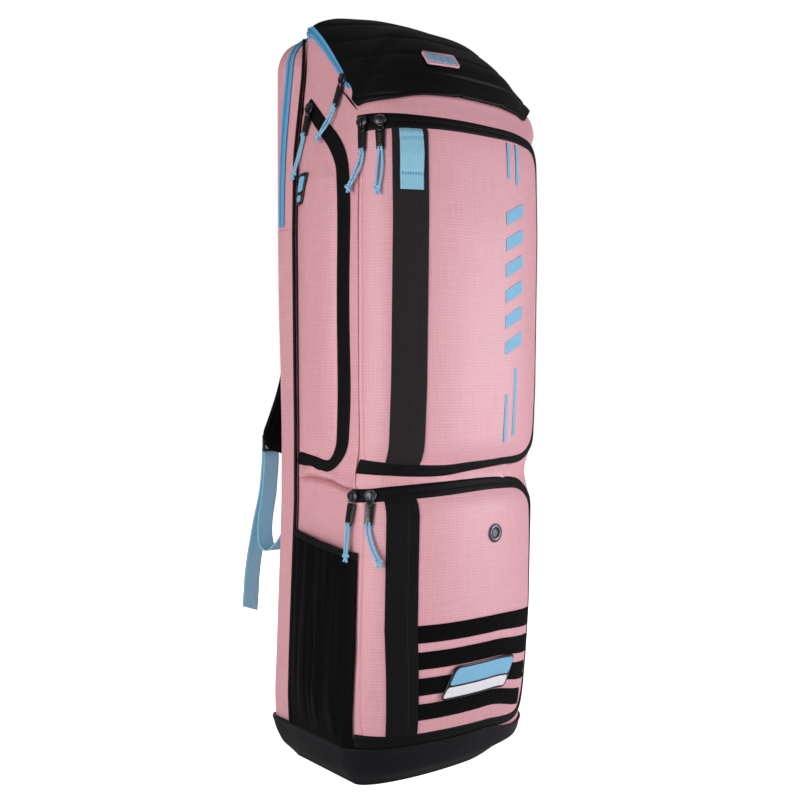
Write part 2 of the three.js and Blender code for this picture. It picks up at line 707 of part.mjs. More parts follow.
// How far the stick compartment's wall has spread at a depth.
function spreadAt(y) {
  const i = STICK_SHELL.findIndex((row) => row.y >= y);
  const [low, high] = [STICK_SHELL[i - 1], STICK_SHELL[i]];
  return THREE.MathUtils.mapLinear(y, low.y, high.y, low.spread, high.spread);
}

// The stick compartment's outline in X and Z, narrow at the body and full width at its back.
function stickLoop({ y, inset, spread }) {
  const half = STICK_HALF - inset;
  const top = STICK_TOP - inset;
  const bottom = BODY_BOTTOM + inset;
  const corner = STICK_CORNER - inset;
  const side = [bottom, ...STICK_LEVELS].map((z) => new THREE.Vector2(half, z));
  const steps = 5;
  for (let i = 0; i <= steps; i += 1) {
    const angle = (Math.PI / 2) * (i / steps);
    side.push(new THREE.Vector2(half - corner * (1 - Math.cos(angle)), top - corner * (1 - Math.sin(angle))));
  }
  const right = side.map((point) => new THREE.Vector3(point.x * stickShare(point.y, spread), y, point.y));
  const left = right.slice().reverse().map((point) => new THREE.Vector3(-point.x, point.y, point.z));
  return right.concat(left);
}

function makeStickCompartment() {
  const outer = loft(STICK_SHELL.map(stickLoop));
  const inner = loft(STICK_HOLLOW.map(stickLoop));
  return geometryOf(solid(outer).subtract(solid(inner)));
}

// The zip over the stick compartment, from one side up and over to the other.
function makeStickZip() {
  const { width, steps } = STICK_ZIP;
  const middle = { x: STICK_HALF - STICK_CORNER, z: STICK_TOP - STICK_CORNER };
  const route = STICK_ZIP_DEPTH.map(({ z }) => ({ x: STICK_HALF, z, angle: 0 }));
  for (let i = 1; i <= steps; i += 1) {
    const angle = (Math.PI / 2) * (i / steps);
    const x = middle.x + STICK_CORNER * Math.cos(angle);
    route.push({ x, z: middle.z + STICK_CORNER * Math.sin(angle), angle });
  }
  const rows = 2 * route.length - 1;
  const place = (u, v, lift) => {
    const k = Math.round(u * rows);
    const { x, z, angle } = route[Math.min(k, rows - k)];
    const row = rowAt(STICK_ZIP_DEPTH, z);
    const y = row.y + (v - 0.5) * width;
    const wall = x * stickShare(z, spreadAt(y));
    const reach = row.seat + lift;
    const point = new THREE.Vector3(wall + reach * Math.cos(angle), y, z + reach * Math.sin(angle));
    return k < route.length ? point : point.setX(-point.x);
  };
  return slab(rows, 1, (u, v) => place(u, v, TRIM_THICK), (u, v) => place(u, v, 0));
}

// A round cord along a smooth curve.
function roundCord(points, radius, sides, steps) {
  const section = new THREE.Shape();
  for (let i = 0; i < sides; i += 1) {
    const angle = (2 * Math.PI * i) / sides;
    const [x, y] = [radius * Math.cos(angle), radius * Math.sin(angle)];
    if (i === 0) {
      section.moveTo(x, y);
    } else {
      section.lineTo(x, y);
    }
  }
  const extrudePath = new THREE.CatmullRomCurve3(points, false, 'centripetal');
  return new THREE.ExtrudeGeometry(section, { steps, extrudePath, bevelEnabled: false });
}

// A level ring of points.
function ring(middle, radius, sides) {
  const points = [];
  for (let i = 0; i < sides; i += 1) {
    const angle = (2 * Math.PI * i) / sides;
    const reach = new THREE.Vector3(Math.cos(angle), Math.sin(angle), 0);
    points.push(reach.multiplyScalar(radius).add(middle));
  }
  return points;
}

function makePiping(side) {
  const heights = [PIPING.bottom, ...STICK_LEVELS, PIPING.top];
  const loops = heights.map((z) => {
    const x = rowAt(OUTLINE, z).half + PIPING.lift;
    return ring(new THREE.Vector3(side * x, BODY_BACK, z), PIPING.radius, PIPING.sides);
  });
  return loft(loops);
}

// The front edge of the side pocket at a height: slanted at the top and rounded at the bottom.
function sidePocketEdge(z) {
  const { front, bottom, top } = SIDE_POCKET;
  const slant = THREE.MathUtils.clamp((z - SIDE_POCKET_SLANT.from) / (top - SIDE_POCKET_SLANT.from), 0, 1);
  const low = SIDE_POCKET_ROUND.from;
  const round = THREE.MathUtils.clamp((low - z) / (low - bottom), 0, 1);
  const edge = THREE.MathUtils.lerp(front, SIDE_POCKET_SLANT.front, slant);
  return { edge: THREE.MathUtils.lerp(edge, SIDE_POCKET_ROUND.front, round), slant };
}

// How far the side pocket stands out at a depth and height.
function sideSwell(y, z) {
  const { back, bottom, top } = SIDE_POCKET;
  const { rise, flatUp, flatAcross } = SIDE_SWELL;
  const { edge, slant } = sidePocketEdge(z);
  const u = (z - bottom) / (top - bottom);
  const v = THREE.MathUtils.clamp((y - back) / (edge - back), 0, 1);
  return rise * (1 - Math.abs(2 * u - 1) ** flatUp) * (1 - Math.abs(2 * v - 1) ** flatAcross) * (1 - slant);
}

function makeSidePocket() {
  const { back } = SIDE_POCKET;
  const rows = SIDE_POCKET_LEVELS.length - 1;
  const place = (u, v, lift) => {
    const z = SIDE_POCKET_LEVELS[Math.round(u * rows)];
    const y = THREE.MathUtils.lerp(back, sidePocketEdge(z).edge, v);
    return skinPoint(-arcTo('y', y, z), z, lift + sideSwell(y, z));
  };
  const low = TRIM_LIFT;
  return slab(rows, 6, (u, v) => place(u, v, low + DOOR_WALL), (u, v) => place(u, v, low));
}

// A place on the mesh pocket: u goes up, v goes from the back to the front.
function meshPoint(u, v, lift) {
  const { back, frontLow, frontHigh, bottom, topBack, topFront } = MESH;
  const { rise, folds, fold, round, foot, slack } = MESH_BULGE;
  const z = THREE.MathUtils.lerp(bottom, THREE.MathUtils.lerp(topBack, topFront, v), u);
  const y = THREE.MathUtils.lerp(back, THREE.MathUtils.lerp(frontLow, frontHigh, Math.min(1, 2 * u)), v);
  const edge = Math.abs(Math.sin(Math.PI * v)) ** round;
  const fill = Math.min(1, u * foot) * (1 - slack * u);
  const pleat = fold * Math.cos(2 * Math.PI * folds * v) * edge;
  return skinPoint(-arcTo('y', y, z), z, lift + (rise * edge + pleat) * fill);
}

function makeMeshPocket() {
  const { bottom, topBack } = MESH;
  const share = 1 - (BINDING_HIGH + GAP) / (topBack - bottom);
  const low = TRIM_LIFT;
  const face = (lift) => (u, v) => meshPoint(u * share, v, lift);
  return slab(MESH_ROWS, MESH_COLS, face(low + MESH_WALL), face(low));
}

function makeMeshBinding() {
  const { bottom, topBack } = MESH;
  const share = 1 - BINDING_HIGH / (topBack - bottom);
  const low = TRIM_LIFT - BINDING_OVER;
  const face = (lift) => (u, v) => meshPoint(THREE.MathUtils.lerp(share, 1, u), v, lift);
  return slab(1, MESH_COLS, face(low + MESH_WALL + 2 * BINDING_OVER), face(low));
}

function makeHookStrip({ bottom, top, right }) {
  const { left, drop, dropFrom, cols } = HOOK_SPAN;
  const place = (u, v, lift) => {
    const z = THREE.MathUtils.lerp(bottom, top, u) - drop * Math.max(v - dropFrom, 0) ** 2;
    return skinPoint(THREE.MathUtils.lerp(left + driftAt(z, WEBBING_DRIFT), right, v), z, lift);
  };
  const low = TRIM_LIFT;
  return slab(1, cols, (u, v) => place(u, v, low + TRIM_THICK), (u, v) => place(u, v, low));
}

function makePatch() {
  const { left, right, bottom, top, lean, lift, thick } = PATCH;
  const place = (u, v, high) => {
    const z = THREE.MathUtils.lerp(bottom, top, u);
    return skinPoint(THREE.MathUtils.lerp(left, right, v) + lean * (2 * u - 1), z, high);
  };
  return slab(2, 8, (u, v) => place(u, v, lift + thick), (u, v) => place(u, v, lift));
}

function makeEyelet() {
  const { s, z, outer, hole, thick } = EYELET;
  const profile = [[hole, 0], [outer, 0], [outer, thick / 2], [(outer + hole) / 2, thick], [hole, thick / 2]];
  const points = profile.concat([profile[0]]).map(([x, y]) => new THREE.Vector2(x, y));
  const ring = new THREE.LatheGeometry(points, 14);
  ring.rotateX(Math.PI / 2);
  ring.applyMatrix4(seatAxes(s, z, TRIM_LIFT, 0));
  return ring;
}

// A height on the lid's outer face, as its flat facets lie.
function lidHeight(x, y) {
  let row = 0;
  while (row < LID_ROWS - 1 && lidCurve.getPoint((row + 1) / LID_ROWS).x > y) {
    row += 1;
  }
  const across = x / widthAt(y, rimAt(y), 0);
  const [back, front] = [row, row + 1].map((at) => lidPoint(at / LID_ROWS, across, LID_THICK));
  return THREE.MathUtils.lerp(back.z, front.z, (back.y - y) / (back.y - front.y));
}

function makeBadge() {
  const { x, y, width, deep, slant, thick } = BADGE;
  const place = (u, v, lift) => {
    const across = x + (v - 0.5) * width;
    const along = y + (u - 0.5) * deep + (v - 0.5) * slant;
    return new THREE.Vector3(across, along - lift * 0.8, lidHeight(across, along) + lift * 0.6);
  };
  const seat = TRIM_LIFT;
  return slab(2, 4, (u, v) => place(u, v, seat + thick), (u, v) => place(u, v, seat));
}

function makeTag() {
  const { y, z, width, high, lean, thick, seat } = TAG;
  const place = (u, v, lift) => {
    const height = z + (u - 0.5) * high;
    const depth = y + (v - 0.5) * width - lean * (2 * u - 1);
    return skinPoint(-arcTo('y', depth, height), height, lift + sideSwell(depth, height));
  };
  const low = TRIM_LIFT + DOOR_WALL + seat;
  return slab(3, 2, (u, v) => place(u, v, low + thick), (u, v) => place(u, v, low));
}

// A zip pull: the slider on the teeth, the tab hanging from it and a knotted loop of cord.
function addPull(pull) {
  const { name, z, seat, turn, lean, tilt, drift, drop } = pull;
  const s = pull.s ?? -arcTo('y', pull.y, z);
  const slider = plate(roundedRect(SLIDER.width, SLIDER.high, SLIDER.corner), SLIDER.thick, 1);
  slider.applyMatrix4(seatAxes(s, z, seat, turn));
  add(`slider_${name}`, slider, BLACK_METAL);

  const hang = seatAxes(s, z, seat, lean);
  hang.multiply(new THREE.Matrix4().makeRotationX(THREE.MathUtils.degToRad(-tilt)));
  const tabTop = -SLIDER.high / 2 - TAB.below;
  const tab = plate(roundedRect(TAB.width, TAB.high, TAB.corner), TAB.thick, 1);
  tab.translate(0, tabTop - TAB.high / 2, TAB.out);
  tab.applyMatrix4(hang);
  add(`tab_${name}`, tab, BLACK_PLASTIC);

  const from = tabTop - TAB.high - GAP;
  const out = TAB.out + TAB.thick / 2;
  const down = (share, side) => {
    const sway = drift * share ** CORD.swing;
    const apart = CORD.spread * side * (1 + CORD.bow * Math.sin(Math.PI * share));
    return new THREE.Vector3(sway + apart, from - drop * share, out).applyMatrix4(hang);
  };
  const shares = [0, 0.25, 0.5, 0.75, 1];
  const route = shares.map((share) => down(share, -1));
  route.push(...shares.slice().reverse().map((share) => down(share, 1)));
  const cord = roundCord(route, CORD.radius, CORD.sides, CORD.steps);
  const knot = new THREE.SphereGeometry(CORD.knot, 6, 5);
  knot.scale(1, 1.15, 0.85);
  const place = new THREE.Vector3(drift, from - drop, out).applyMatrix4(hang);
  knot.translate(place.x, place.y, place.z);
  add(`cord_${name}`, geometryOf(solid(cord).add(solid(knot))), BLUE_CORD);
}

// Axes along a strap: across it is level, and its thickness is square to both.
function strapCurve(route, side) {
  return new THREE.CatmullRomCurve3(
    route.map((row) => new THREE.Vector3(side * row.x, row.y, row.z)), false, 'centripetal');
}

function strapAxes(curve, u) {
  const along = curve.getTangent(u);
  const across = new THREE.Vector3(1, 0, 0);
  across.addScaledVector(along, -across.dot(along)).normalize();
  return { at: curve.getPoint(u), across, thick: along.clone().cross(across) };
}

function makePad(side) {
  const curve = strapCurve(PAD_ROUTE, side);
  const loops = [];
  for (let i = 0; i <= PAD.rows; i += 1) {
    const u = i / PAD.rows;
    const { at, across, thick } = strapAxes(curve, u);
    const taper = 1 - PAD_END.narrows * THREE.MathUtils.smoothstep(u, PAD_END.from, 1);
    const loop = [];
    for (let j = 0; j < PAD.sides; j += 1) {
      const angle = (2 * Math.PI * j) / PAD.sides;
      const [c, n] = [Math.cos(angle), Math.sin(angle)];
      const wide = PAD.half * taper * Math.sign(c) * Math.abs(c) ** PAD.squareAcross;
      const deep = (PAD.thick / 2) * Math.sign(n) * Math.abs(n) ** PAD.squareDeep;
      loop.push(at.clone().addScaledVector(across, wide).addScaledVector(thick, deep));
    }
    loops.push(loop);
  }
  return loft(loops);
}

function makeStrip(route, side, rows) {
  const curve = strapCurve(route, side);
  const place = (u, v, lift) => {
    const { at, across, thick } = strapAxes(curve, u);
    return at.addScaledVector(across, (v - 0.5) * STRAP_WEBBING).addScaledVector(thick, lift);
  };
  const half = WEBBING_THICK / 2;
  return slab(rows, 1, (u, v) => place(u, v, half), (u, v) => place(u, v, -half));
}

function makeBuckle(side) {
  const { x, y, z, width, high, thick, slot, bar } = BUCKLE;
  const shape = roundedRect(width, high, 4);
  const reach = width / 2 - bar;
  for (const middle of [-high / 4, high / 4]) {
    const hole = new THREE.Path();
    hole.moveTo(-reach, middle - slot / 2);
    hole.lineTo(-reach, middle + slot / 2);
    hole.lineTo(reach, middle + slot / 2);
    hole.lineTo(reach, middle - slot / 2);
    hole.closePath();
    shape.holes.push(hole);
  }
  const buckle = plate(shape, thick, 3);
  buckle.rotateX(Math.PI / 2);
  buckle.translate(side * x, y + thick, z);
  return buckle;
}

// The bag, from the foot up
const flat = (value) => () => value;
const lowTrim = flat(TRIM_LIFT);
const highTrim = flat(TRIM_LIFT + TRIM_THICK);

add('base_boot', makeBoot(), BOOT_CLOTH);
add('main_body', makeBody(), PINK_CLOTH);
add('lid', makeLid(), BLACK_CLOTH);
add('lid_zip', makeLidZip(), BLUE_ZIP);
add('stick_compartment', makeStickCompartment(), PINK_CLOTH);
add('stick_zip', makeStickZip(), BLUE_ZIP);
add('piping_left', makePiping(-1), BLACK_CLOTH);
add('piping_right', makePiping(1), BLACK_CLOTH);

add('upper_pocket', makeDoor(UPPER), PINK_CLOTH);
add('lower_pocket', makeDoor(LOWER), PINK_CLOTH);
add('upper_zip', tape(UPPER_ZIP, 48, 1, TRIM_LIFT, TRIM_LIFT + TRIM_THICK), BLACK_ZIP);
add('lower_zip', tape(LOWER_ZIP, 42, 1, TRIM_LIFT, TRIM_LIFT + TRIM_THICK), BLACK_ZIP);

const sideZip = SIDE_ZIP.map((row) => ({ s: -arcTo('y', row.y, row.z), z: row.z, width: row.width }));
add('side_pocket', makeSidePocket(), PINK_CLOTH);
add('side_zip', tape(sideZip, 33, 1, TRIM_LIFT, TRIM_LIFT + TRIM_THICK), BLACK_ZIP);
add('side_tag', makeTag(), BLACK_PLASTIC);
add('mesh_pocket', makeMeshPocket(), MESH_CLOTH);
add('mesh_binding', makeMeshBinding(), BLACK_WEBBING);

add('webbing_upper', trim(WEBBING_UPPER, 4, lowTrim, highTrim), BLACK_WEBBING);
add('webbing_lower', trim(WEBBING_LOWER, 4, lowTrim, highTrim), BLACK_WEBBING);
const bow = (base) => (u) => base + LOOP_BOW * Math.sin(Math.PI * u);
add('front_loop', trim(FRONT_LOOP, 3, bow(LOOP_BACK), bow(LOOP_BACK + LOOP_THICK)), BLUE_WEBBING);
add('eyelet', makeEyelet(), BLACK_METAL);
HOOK_STRIPS.forEach((row, i) => add(`hook_strip_${i + 1}`, makeHookStrip(row), HOOK_TAPE));
add('patch', makePatch(), PATCH_RUBBER);
add('lid_badge', makeBadge(), BADGE_RUBBER);
PULLS.forEach(addPull);

for (const [label, side] of [['left', 1], ['right', -1]]) {
  add(`strap_pad_${label}`, makePad(side), BLACK_CLOTH);
  add(`strap_buckle_${label}`, makeBuckle(side), BLACK_PLASTIC);
  add(`strap_webbing_${label}`, makeStrip(WEBBING_ROUTE, side, 16), BLUE_WEBBING);
  add(`strap_tail_${label}`, makeStrip(TAIL_ROUTE, side, 10), BLUE_WEBBING);
}

export default bag;
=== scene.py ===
"""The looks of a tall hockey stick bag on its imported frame: cloth, zips, webbing, cords and a studio."""
import math
from collections import namedtuple

import bmesh
import bpy
import numpy as np
from bpy.props import FloatProperty, FloatVectorProperty, PointerProperty
from mathutils import Matrix, Vector


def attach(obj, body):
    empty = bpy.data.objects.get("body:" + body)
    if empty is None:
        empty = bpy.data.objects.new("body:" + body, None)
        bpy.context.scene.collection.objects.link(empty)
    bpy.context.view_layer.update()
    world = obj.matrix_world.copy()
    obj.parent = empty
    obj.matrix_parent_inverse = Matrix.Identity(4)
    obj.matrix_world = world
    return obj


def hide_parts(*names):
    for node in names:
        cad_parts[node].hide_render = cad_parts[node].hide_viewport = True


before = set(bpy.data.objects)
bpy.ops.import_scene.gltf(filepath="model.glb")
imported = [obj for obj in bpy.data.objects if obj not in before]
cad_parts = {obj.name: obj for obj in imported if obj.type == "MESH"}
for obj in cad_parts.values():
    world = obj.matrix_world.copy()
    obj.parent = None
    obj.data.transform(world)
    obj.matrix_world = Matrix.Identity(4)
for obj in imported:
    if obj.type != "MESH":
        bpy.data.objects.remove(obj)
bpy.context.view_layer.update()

bl_info = {
    "name": "Hockey Stick Bag",
    "version": (1, 0, 0),
    "blender": (4, 5, 0),
    "location": "View3D > Sidebar > Stick Bag",
    "description": "Dresses the packed hockey stick bag in cloth, zips, webbing and cords",
    "category": "Object",
}

# Tables are in millimetres, in the frame's own axes: +Z up, the front faces -Y
MM = 0.001

# Plan of the bag
SIDE_FRONT = -45
BODY_BACK = 66
BAG_BACK = 110
BACK_CORNER = 6
POCKET_BACK = -70
BODY_BOTTOM = 44
BOOT_RIM = 52
SIDES = (("left", -1), ("right", 1))

# The outline at each height: half the width, how far the rounded front stands out past the flat
# sides, how square its corners are (2 is an ellipse) and how far the edge tucks in under the bag
Level = namedtuple("Level", "z half bulge square tuck")
OUTLINE = [
    Level(0, 124, 27, 2.0, 32),
    Level(8, 136, 42, 2.0, 18),
    Level(22, 143.5, 52, 2.0, 7),
    Level(42, 147.5, 61, 1.95, 0),
    Level(90, 149.5, 73, 2.0, 0),
    Level(140, 150, 79.5, 2.05, 0),
    Level(200, 150, 84, 2.1, 0),
    Level(345, 149.5, 81.5, 2.15, 0),
    Level(363, 147, 74, 2.15, 0),
    Level(382, 143, 67, 2.15, 0),
    Level(401, 146.5, 75.5, 2.25, 0),
    Level(420, 149, 82.5, 2.35, 0),
    Level(500, 149.5, 87, 2.4, 0),
    Level(700, 150, 90.5, 2.45, 0),
    Level(800, 148, 89, 2.45, 0),
    Level(865, 140, 82, 2.2, 0),
    Level(905, 135, 78, 2.15, 0),
    Level(1010, 130, 70, 2.1, 0),
]
SEAM_EASE = (-9, -4.5, 0, 4.5, 9)
WAIST_SPAN = (330, 440)

# How the soft bag settles at each height: its lean to the right and the belly of its back
Settle = namedtuple("Settle", "z lean belly")
SETTLE = [
    Settle(90, -8, 5),
    Settle(345, 0, 0),
    Settle(420, 0, 0),
    Settle(700, 0, 4),
]

# How far the front corner on the right sags at each height; its underside is drawn up
Sag = namedtuple("Sag", "z drop")
CORNER_SAG = [
    Sag(0, -8),
    Sag(22, 6),
    Sag(50, 13),
    Sag(75, 15),
    Sag(120, 11),
    Sag(170, 6),
    Sag(230, 0),
]
SAG_ACROSS = (30, 115)
SAG_FORWARD = (-40, 40)

# The lid from back to front: the height of its lower edge and of its crown at each depth
LidRow = namedtuple("LidRow", "y rim crown")
LID_PROFILE = [
    LidRow(66, 970, 972),
    LidRow(61, 970, 991),
    LidRow(50, 967, 991),
    LidRow(25, 943, 984),
    LidRow(0, 915, 974),
    LidRow(-22, 890, 964),
    LidRow(-44, 866, 954),
    LidRow(-58.5, 841.5, 943.5),
    LidRow(-90, 847, 918),
    LidRow(-113, 851, 896),
    LidRow(-123, 853, 874),
    LidRow(-127, 854, 855),
]
LID_ARCH = 3.2
LID_THICK = 5
LID_FRONT_RISE = 3
LID_RIGHT_RISE = 27
LID_FRONT_FROM = (95, 118)
LID_RIGHT_FROM = (85, 132)
LID_CORNER_FROM = (30, 60)
LID_BACK_ROUND = 0.015
QUILT = {"first": 881, "pitch": 30, "puff": 0.9, "half": 2.0}
LID_SEAM = 1.5
LID_HEM = 2.2
LID_ZIP_FRONT = -46
LID_ZIP_CUT = 12
LID_ZIP_HIGH = {"front": 14, "back": 15}
LID_ZIP_OVER = 3.5
LID_ZIP_LEVEL = {"front": 862, "back": 960}

# Zips along the skin: distance round the bag from the middle of the front, height and tape width
Tape = namedtuple("Tape", "s z width")
UPPER_ZIP = [
    Tape(-174, 816, 22),
    Tape(-150, 816, 21),
    Tape(-126, 816, 19),
    Tape(-90, 816, 16),
    Tape(0, 817, 14),
    Tape(70, 817, 13),
    Tape(112, 810, 13),
    Tape(138, 780, 13),
    Tape(144, 720, 13),
    Tape(145, 600, 13),
    Tape(143, 490, 13),
    Tape(134, 436, 13),
    Tape(104, 405, 12),
    Tape(40, 398.5, 10),
    Tape(-10, 395, 12),
    Tape(-55, 391.5, 14),
    Tape(-126, 395, 16),
    Tape(-150, 397, 17),
    Tape(-164.5, 398, 18),
]
LOWER_ZIP = [
    Tape(-172, 361.5, 16),
    Tape(-146, 363, 16),
    Tape(-124, 365, 17),
    Tape(-50, 369, 17),
    Tape(40, 371, 15),
    Tape(95, 364, 14),
    Tape(124, 340, 13),
    Tape(136, 300, 13),
    Tape(142, 200, 13),
    Tape(138, 110, 13),
    Tape(118, 72, 12),
    Tape(70, 59, 13),
    Tape(-40, 58.5, 16),
    Tape(-120, 58.5, 18),
    Tape(-138, 59, 19),
    Tape(-157, 59.5, 20),
]
ZIP_WALL = 0.6 * MM

# Front pocket doors: their zip, lower and upper edge, and the seed of their waves
Door = namedtuple("Door", "name route bottom top seed")
DOORS = [
    Door("upper_pocket", UPPER_ZIP, 392.3, 816.7, 15),
    Door("lower_pocket", LOWER_ZIP, 44.3, 366.7, 16),
]
DOOR_EDGE_FROM = 70
RECESS = {"upper": (394, 815), "lower": (0, 365), "ease": 6, "deep": 3.2}

# The dark seam from the end of the lid zip to the lid's corner; past the corner, on the band, it is painted
# shade along a crease
CORNER_SEAM_AND_CREASE_SHADE = [
    Tape(-203, 867, 0.8),
    Tape(-192.6, 857, 1.8),
    Tape(-182.7, 845.7, 2.2),
    Tape(-174, 835, 0.6),
]

# The side zip on the left: depth, height and tape width
SideTape = namedtuple("SideTape", "y z width")
SIDE_ZIP = [
    SideTape(50, 865, 20),
    SideTape(35, 850, 21),
    SideTape(10, 826, 22),
    SideTape(-18, 800, 24),
    SideTape(-33, 775, 25),
    SideTape(-38, 740, 26),
    SideTape(-38.5, 600, 26),
    SideTape(-38, 450, 26),
    SideTape(-30, 415, 23),
    SideTape(-5, 396, 16),
    SideTape(30, 399, 15),
    SideTape(60, 403, 18),
]

# The side pocket, the mesh pocket and the tag, all on the left
SIDE_POCKET = {"back": 58, "front": -23.8, "bottom": 411, "top": 846, "rise": 7}
SIDE_SLANT = {"z": 758, "front": 50}
SIDE_ROUND = {"z": 442, "front": -5}
SIDE_FOOT = {"y": 20, "z": 500}
SIDE_PANEL = {"bottom": 398, "top": 862, "hidden": 10, "shown": 17}
MESH = {"back": 62, "front_low": -60.5, "front_high": -66, "bottom": 51, "top_back": 309, "top_front": 293}
MESH_RISE = 10
MESH_SLACK = 0.45
BINDING_HIGH = 9
TAG = {"y": 42, "z": 751, "width": 20, "high": 40, "lean": 6}

# Trim on the front: edges round the bag and heights, with ends tucked under the zips; the low webbing
# drifts to the right below one height, by a share of the way down
Trim = namedtuple("Trim", "left right bottom top")
WEBBING_UPPER = Trim(-131, -87, 396, 812)
WEBBING_LOWER = Trim(-132, -91.5, 58, 362)
WEBBING_SEAM = 0.68
DRIFT_BELOW = 200
WEBBING_DRIFT = 0.1
FRONT_LOOP = Trim(-122, -94, 733, 808)
HOOK_STRIPS = [
    Trim(-91.2, 118, 182, 204),
    Trim(-91.2, 118, 149, 171),
    Trim(-91.2, 116, 116, 138),
    Trim(-91.2, 106, 84, 105),
]
HOOK_DROP = 9
HOOK_DROP_FROM = 0.35
PATCH = {"left": -45, "right": 66, "bottom": 106, "top": 148, "lean": 9, "lift": 3.2, "thick": 2}
EYELET = {"s": 26, "z": 308, "outer": 12, "hole": 5.5, "thick": 2.2}
BADGE = {"x": -52.2, "y": -108.2, "width": 43.5, "deep": 14, "slant": -10.8}
PIPING = {"radius": 2.2, "lift": 2.9, "bottom": 52, "top": 955}

# The crease of the soft cloth round the waist: distance round the bag to either side, and height
Crease = namedtuple("Crease", "s z")
WAIST = [
    Crease(164, 367.7),
    Crease(176, 368.1),
    Crease(197, 370.1),
    Crease(218, 374.6),
    Crease(240, 377.9),
    Crease(262, 378.9),
    Crease(285, 375.6),
]

# Distances round the bag and heights over which the folds of its cloth, and the swell of its right
# shoulder, come and go
FOLDS = {"side": (155, 172), "front": (150, 175), "back": (264, 286), "under_lid": (824, 848)}
SHOULDER = {"swell": 9, "right": (95, 140), "back": (-262, -215), "low": (822, 842), "high": (-874, -852)}

# Print on the upper pocket: plain stripes and slanted bars
PRINT_STRIPES = [
    Trim(39.5, 45, 762, 808),
    Trim(57, 63, 757, 808),
    Trim(39.5, 45, 424, 486),
    Trim(57, 63, 432, 520),
]
PRINT_BARS = {"left": 37, "right": 72, "bottom": 536, "top": 735, "count": 6, "fill": 0.5, "slant": 16}

# The stick compartment
STICK = {"half": 152.5, "half_low": 149.5, "top": 966, "corner": 50, "widens_from": 400, "widens_to": 700}
STICK_FOOT = 90
StickRow = namedtuple("StickRow", "y inset spread")
STICK_SHELL = [
    StickRow(66.3, 0, 0),
    StickRow(78, 0, 0.6),
    StickRow(90, 0, 1),
    StickRow(103, 0.4, 1),
    StickRow(107, 2.1, 1),
    StickRow(109.2, 5, 1),
    StickRow(110, 10, 1),
]
STICK_ZIP = {"low_end": 709, "seat": 0.6}

# The stick zip at each height: the depth of its middle and the width of its tape
ZipDepth = namedtuple("ZipDepth", "z y width")
STICK_ZIP_DEPTH = [
    ZipDepth(709, 92.5, 11),
    ZipDepth(745, 92, 11),
    ZipDepth(800, 89.5, 11),
    ZipDepth(865, 84.5, 9.5),
    ZipDepth(916, 81, 8),
    ZipDepth(950, 81, 6.5),
]

# Zip pulls: place on the skin, seat above it, the slider's turn, how the tab leans and tilts out from
# the cloth, how far the cord drifts sideways and drops to its knot, and how far its strands bow apart
Pull = namedtuple("Pull", "name s y z seat turn lean tilt drift drop bow")
PULLS = [
    Pull("upper_left", -165, None, 816, 3.1, 0, 2, 1, -20, 40, 0.7),
    Pull("upper_right", -143, None, 816, 3.2, 0, 2, 1, -5, 46, 0.7),
    Pull("lower_left", -169, None, 361, 3.2, 0, -5, 5, 4, 36, 0.1),
    Pull("lower_right", -146, None, 363, 3.6, 0, -3, 4, 18, 42, 0.2),
    Pull("lid", None, -24, 880, 1, -42, -12, 5, -17, 37, 1.1),
    Pull("side", None, 41, 856, 3, -45, -5, 5, -6, 50, 0.2),
]
SLIDER = {"width": 9, "high": 14, "thick": 4.5}
TAB = {"width": 12, "high": 28, "thick": 2.6, "corner": 3, "below": 1.3, "out": 0.4}
RING = {"half": 4.0, "reach": 5.8, "wire": 0.85, "out": 2.8}
CORD = {"spread": 1.75, "swing": 1.6, "knot": 3.4}

# Shoulder straps, left side; the right one is its mirror image
PAD_ROUTE = [
    (-62, 116.6, 895),
    (-64, 117.5, 850),
    (-68, 121, 780),
    (-75, 128, 690),
    (-84, 134, 595),
    (-97, 141, 500),
    (-109, 150, 450),
    (-124, 158, 404),
]
PAD_HALF = 31
PAD_THICK = 12
PAD_ROUND = 26
BUCKLE = {"x": -125, "y": 164.6, "z": 416, "half": 13.5, "high": 24, "bar": 2.1, "rail": 3.4, "thick": 4.6}
STRAP_WIDTH = 24
TAIL_SLANT = 7
WEBBING_ROUTE = [
    (-125.6, 167, 413),
    (-126.2, 169.6, 406),
    (-127.4, 167, 396),
    (-131, 167, 350),
    (-137, 166, 300),
    (-139, 155, 273),
    (-137, 138, 268),
    (-130, 123, 282),
    (-122, 114, 308),
    (-118, 111.9, 335),
]
TAIL_ROUTE = [
    (-126, 170.4, 417),
    (-127, 172.2, 407),
    (-128.4, 170.4, 396),
    (-132, 172, 350),
    (-140, 175, 300),
    (-147, 177, 245),
    (-151, 176, 184),
]

# The camera, fitted to the photograph
CAMERA_PLACE = (-0.888, -1.0508, 0.4992)
CAMERA_TURN = math.radians(39.30)
CAMERA_DIP = math.radians(0.909)
CAMERA_LENS = 45.41

# Soft square lights: place, aim and size in metres, and power in watts
Light = namedtuple("Light", "name place aim size power colour")
LIGHTS = [
    Light("key", (1.15, -1.35, 0.52), (0, -0.1, 0.48), 0.8, 20, "#F7F9FF"),
    Light("fill", (-1.6, -0.5, 0.55), (0, 0, 0.5), 0.9, 15.5, "#FFFFFF"),
    Light("behind", (0.6, 2.0, 1.0), (0, 0, 0.5), 1.2, 20, "#FFFFFF"),
]
FLOOR_GLOW = 0.05
ROOM_GLOW = 0.19

# The cloth of most of the bag
PINK = "slub_ripstop_polyester"


def linear(code):
    """An sRGB hex colour as linear red, green, blue and alpha."""
    shares = [int(code[i:i + 2], 16) / 255 for i in (1, 3, 5)]
    return tuple(c / 12.92 if c <= 0.04045 else ((c + 0.055) / 1.055) ** 2.4 for c in shares) + (1.0,)


def size_of(name, description, default_mm):
    """A length that a user may change."""
    return FloatProperty(name=name, description=description, default=default_mm * MM, min=0.0, unit="LENGTH")


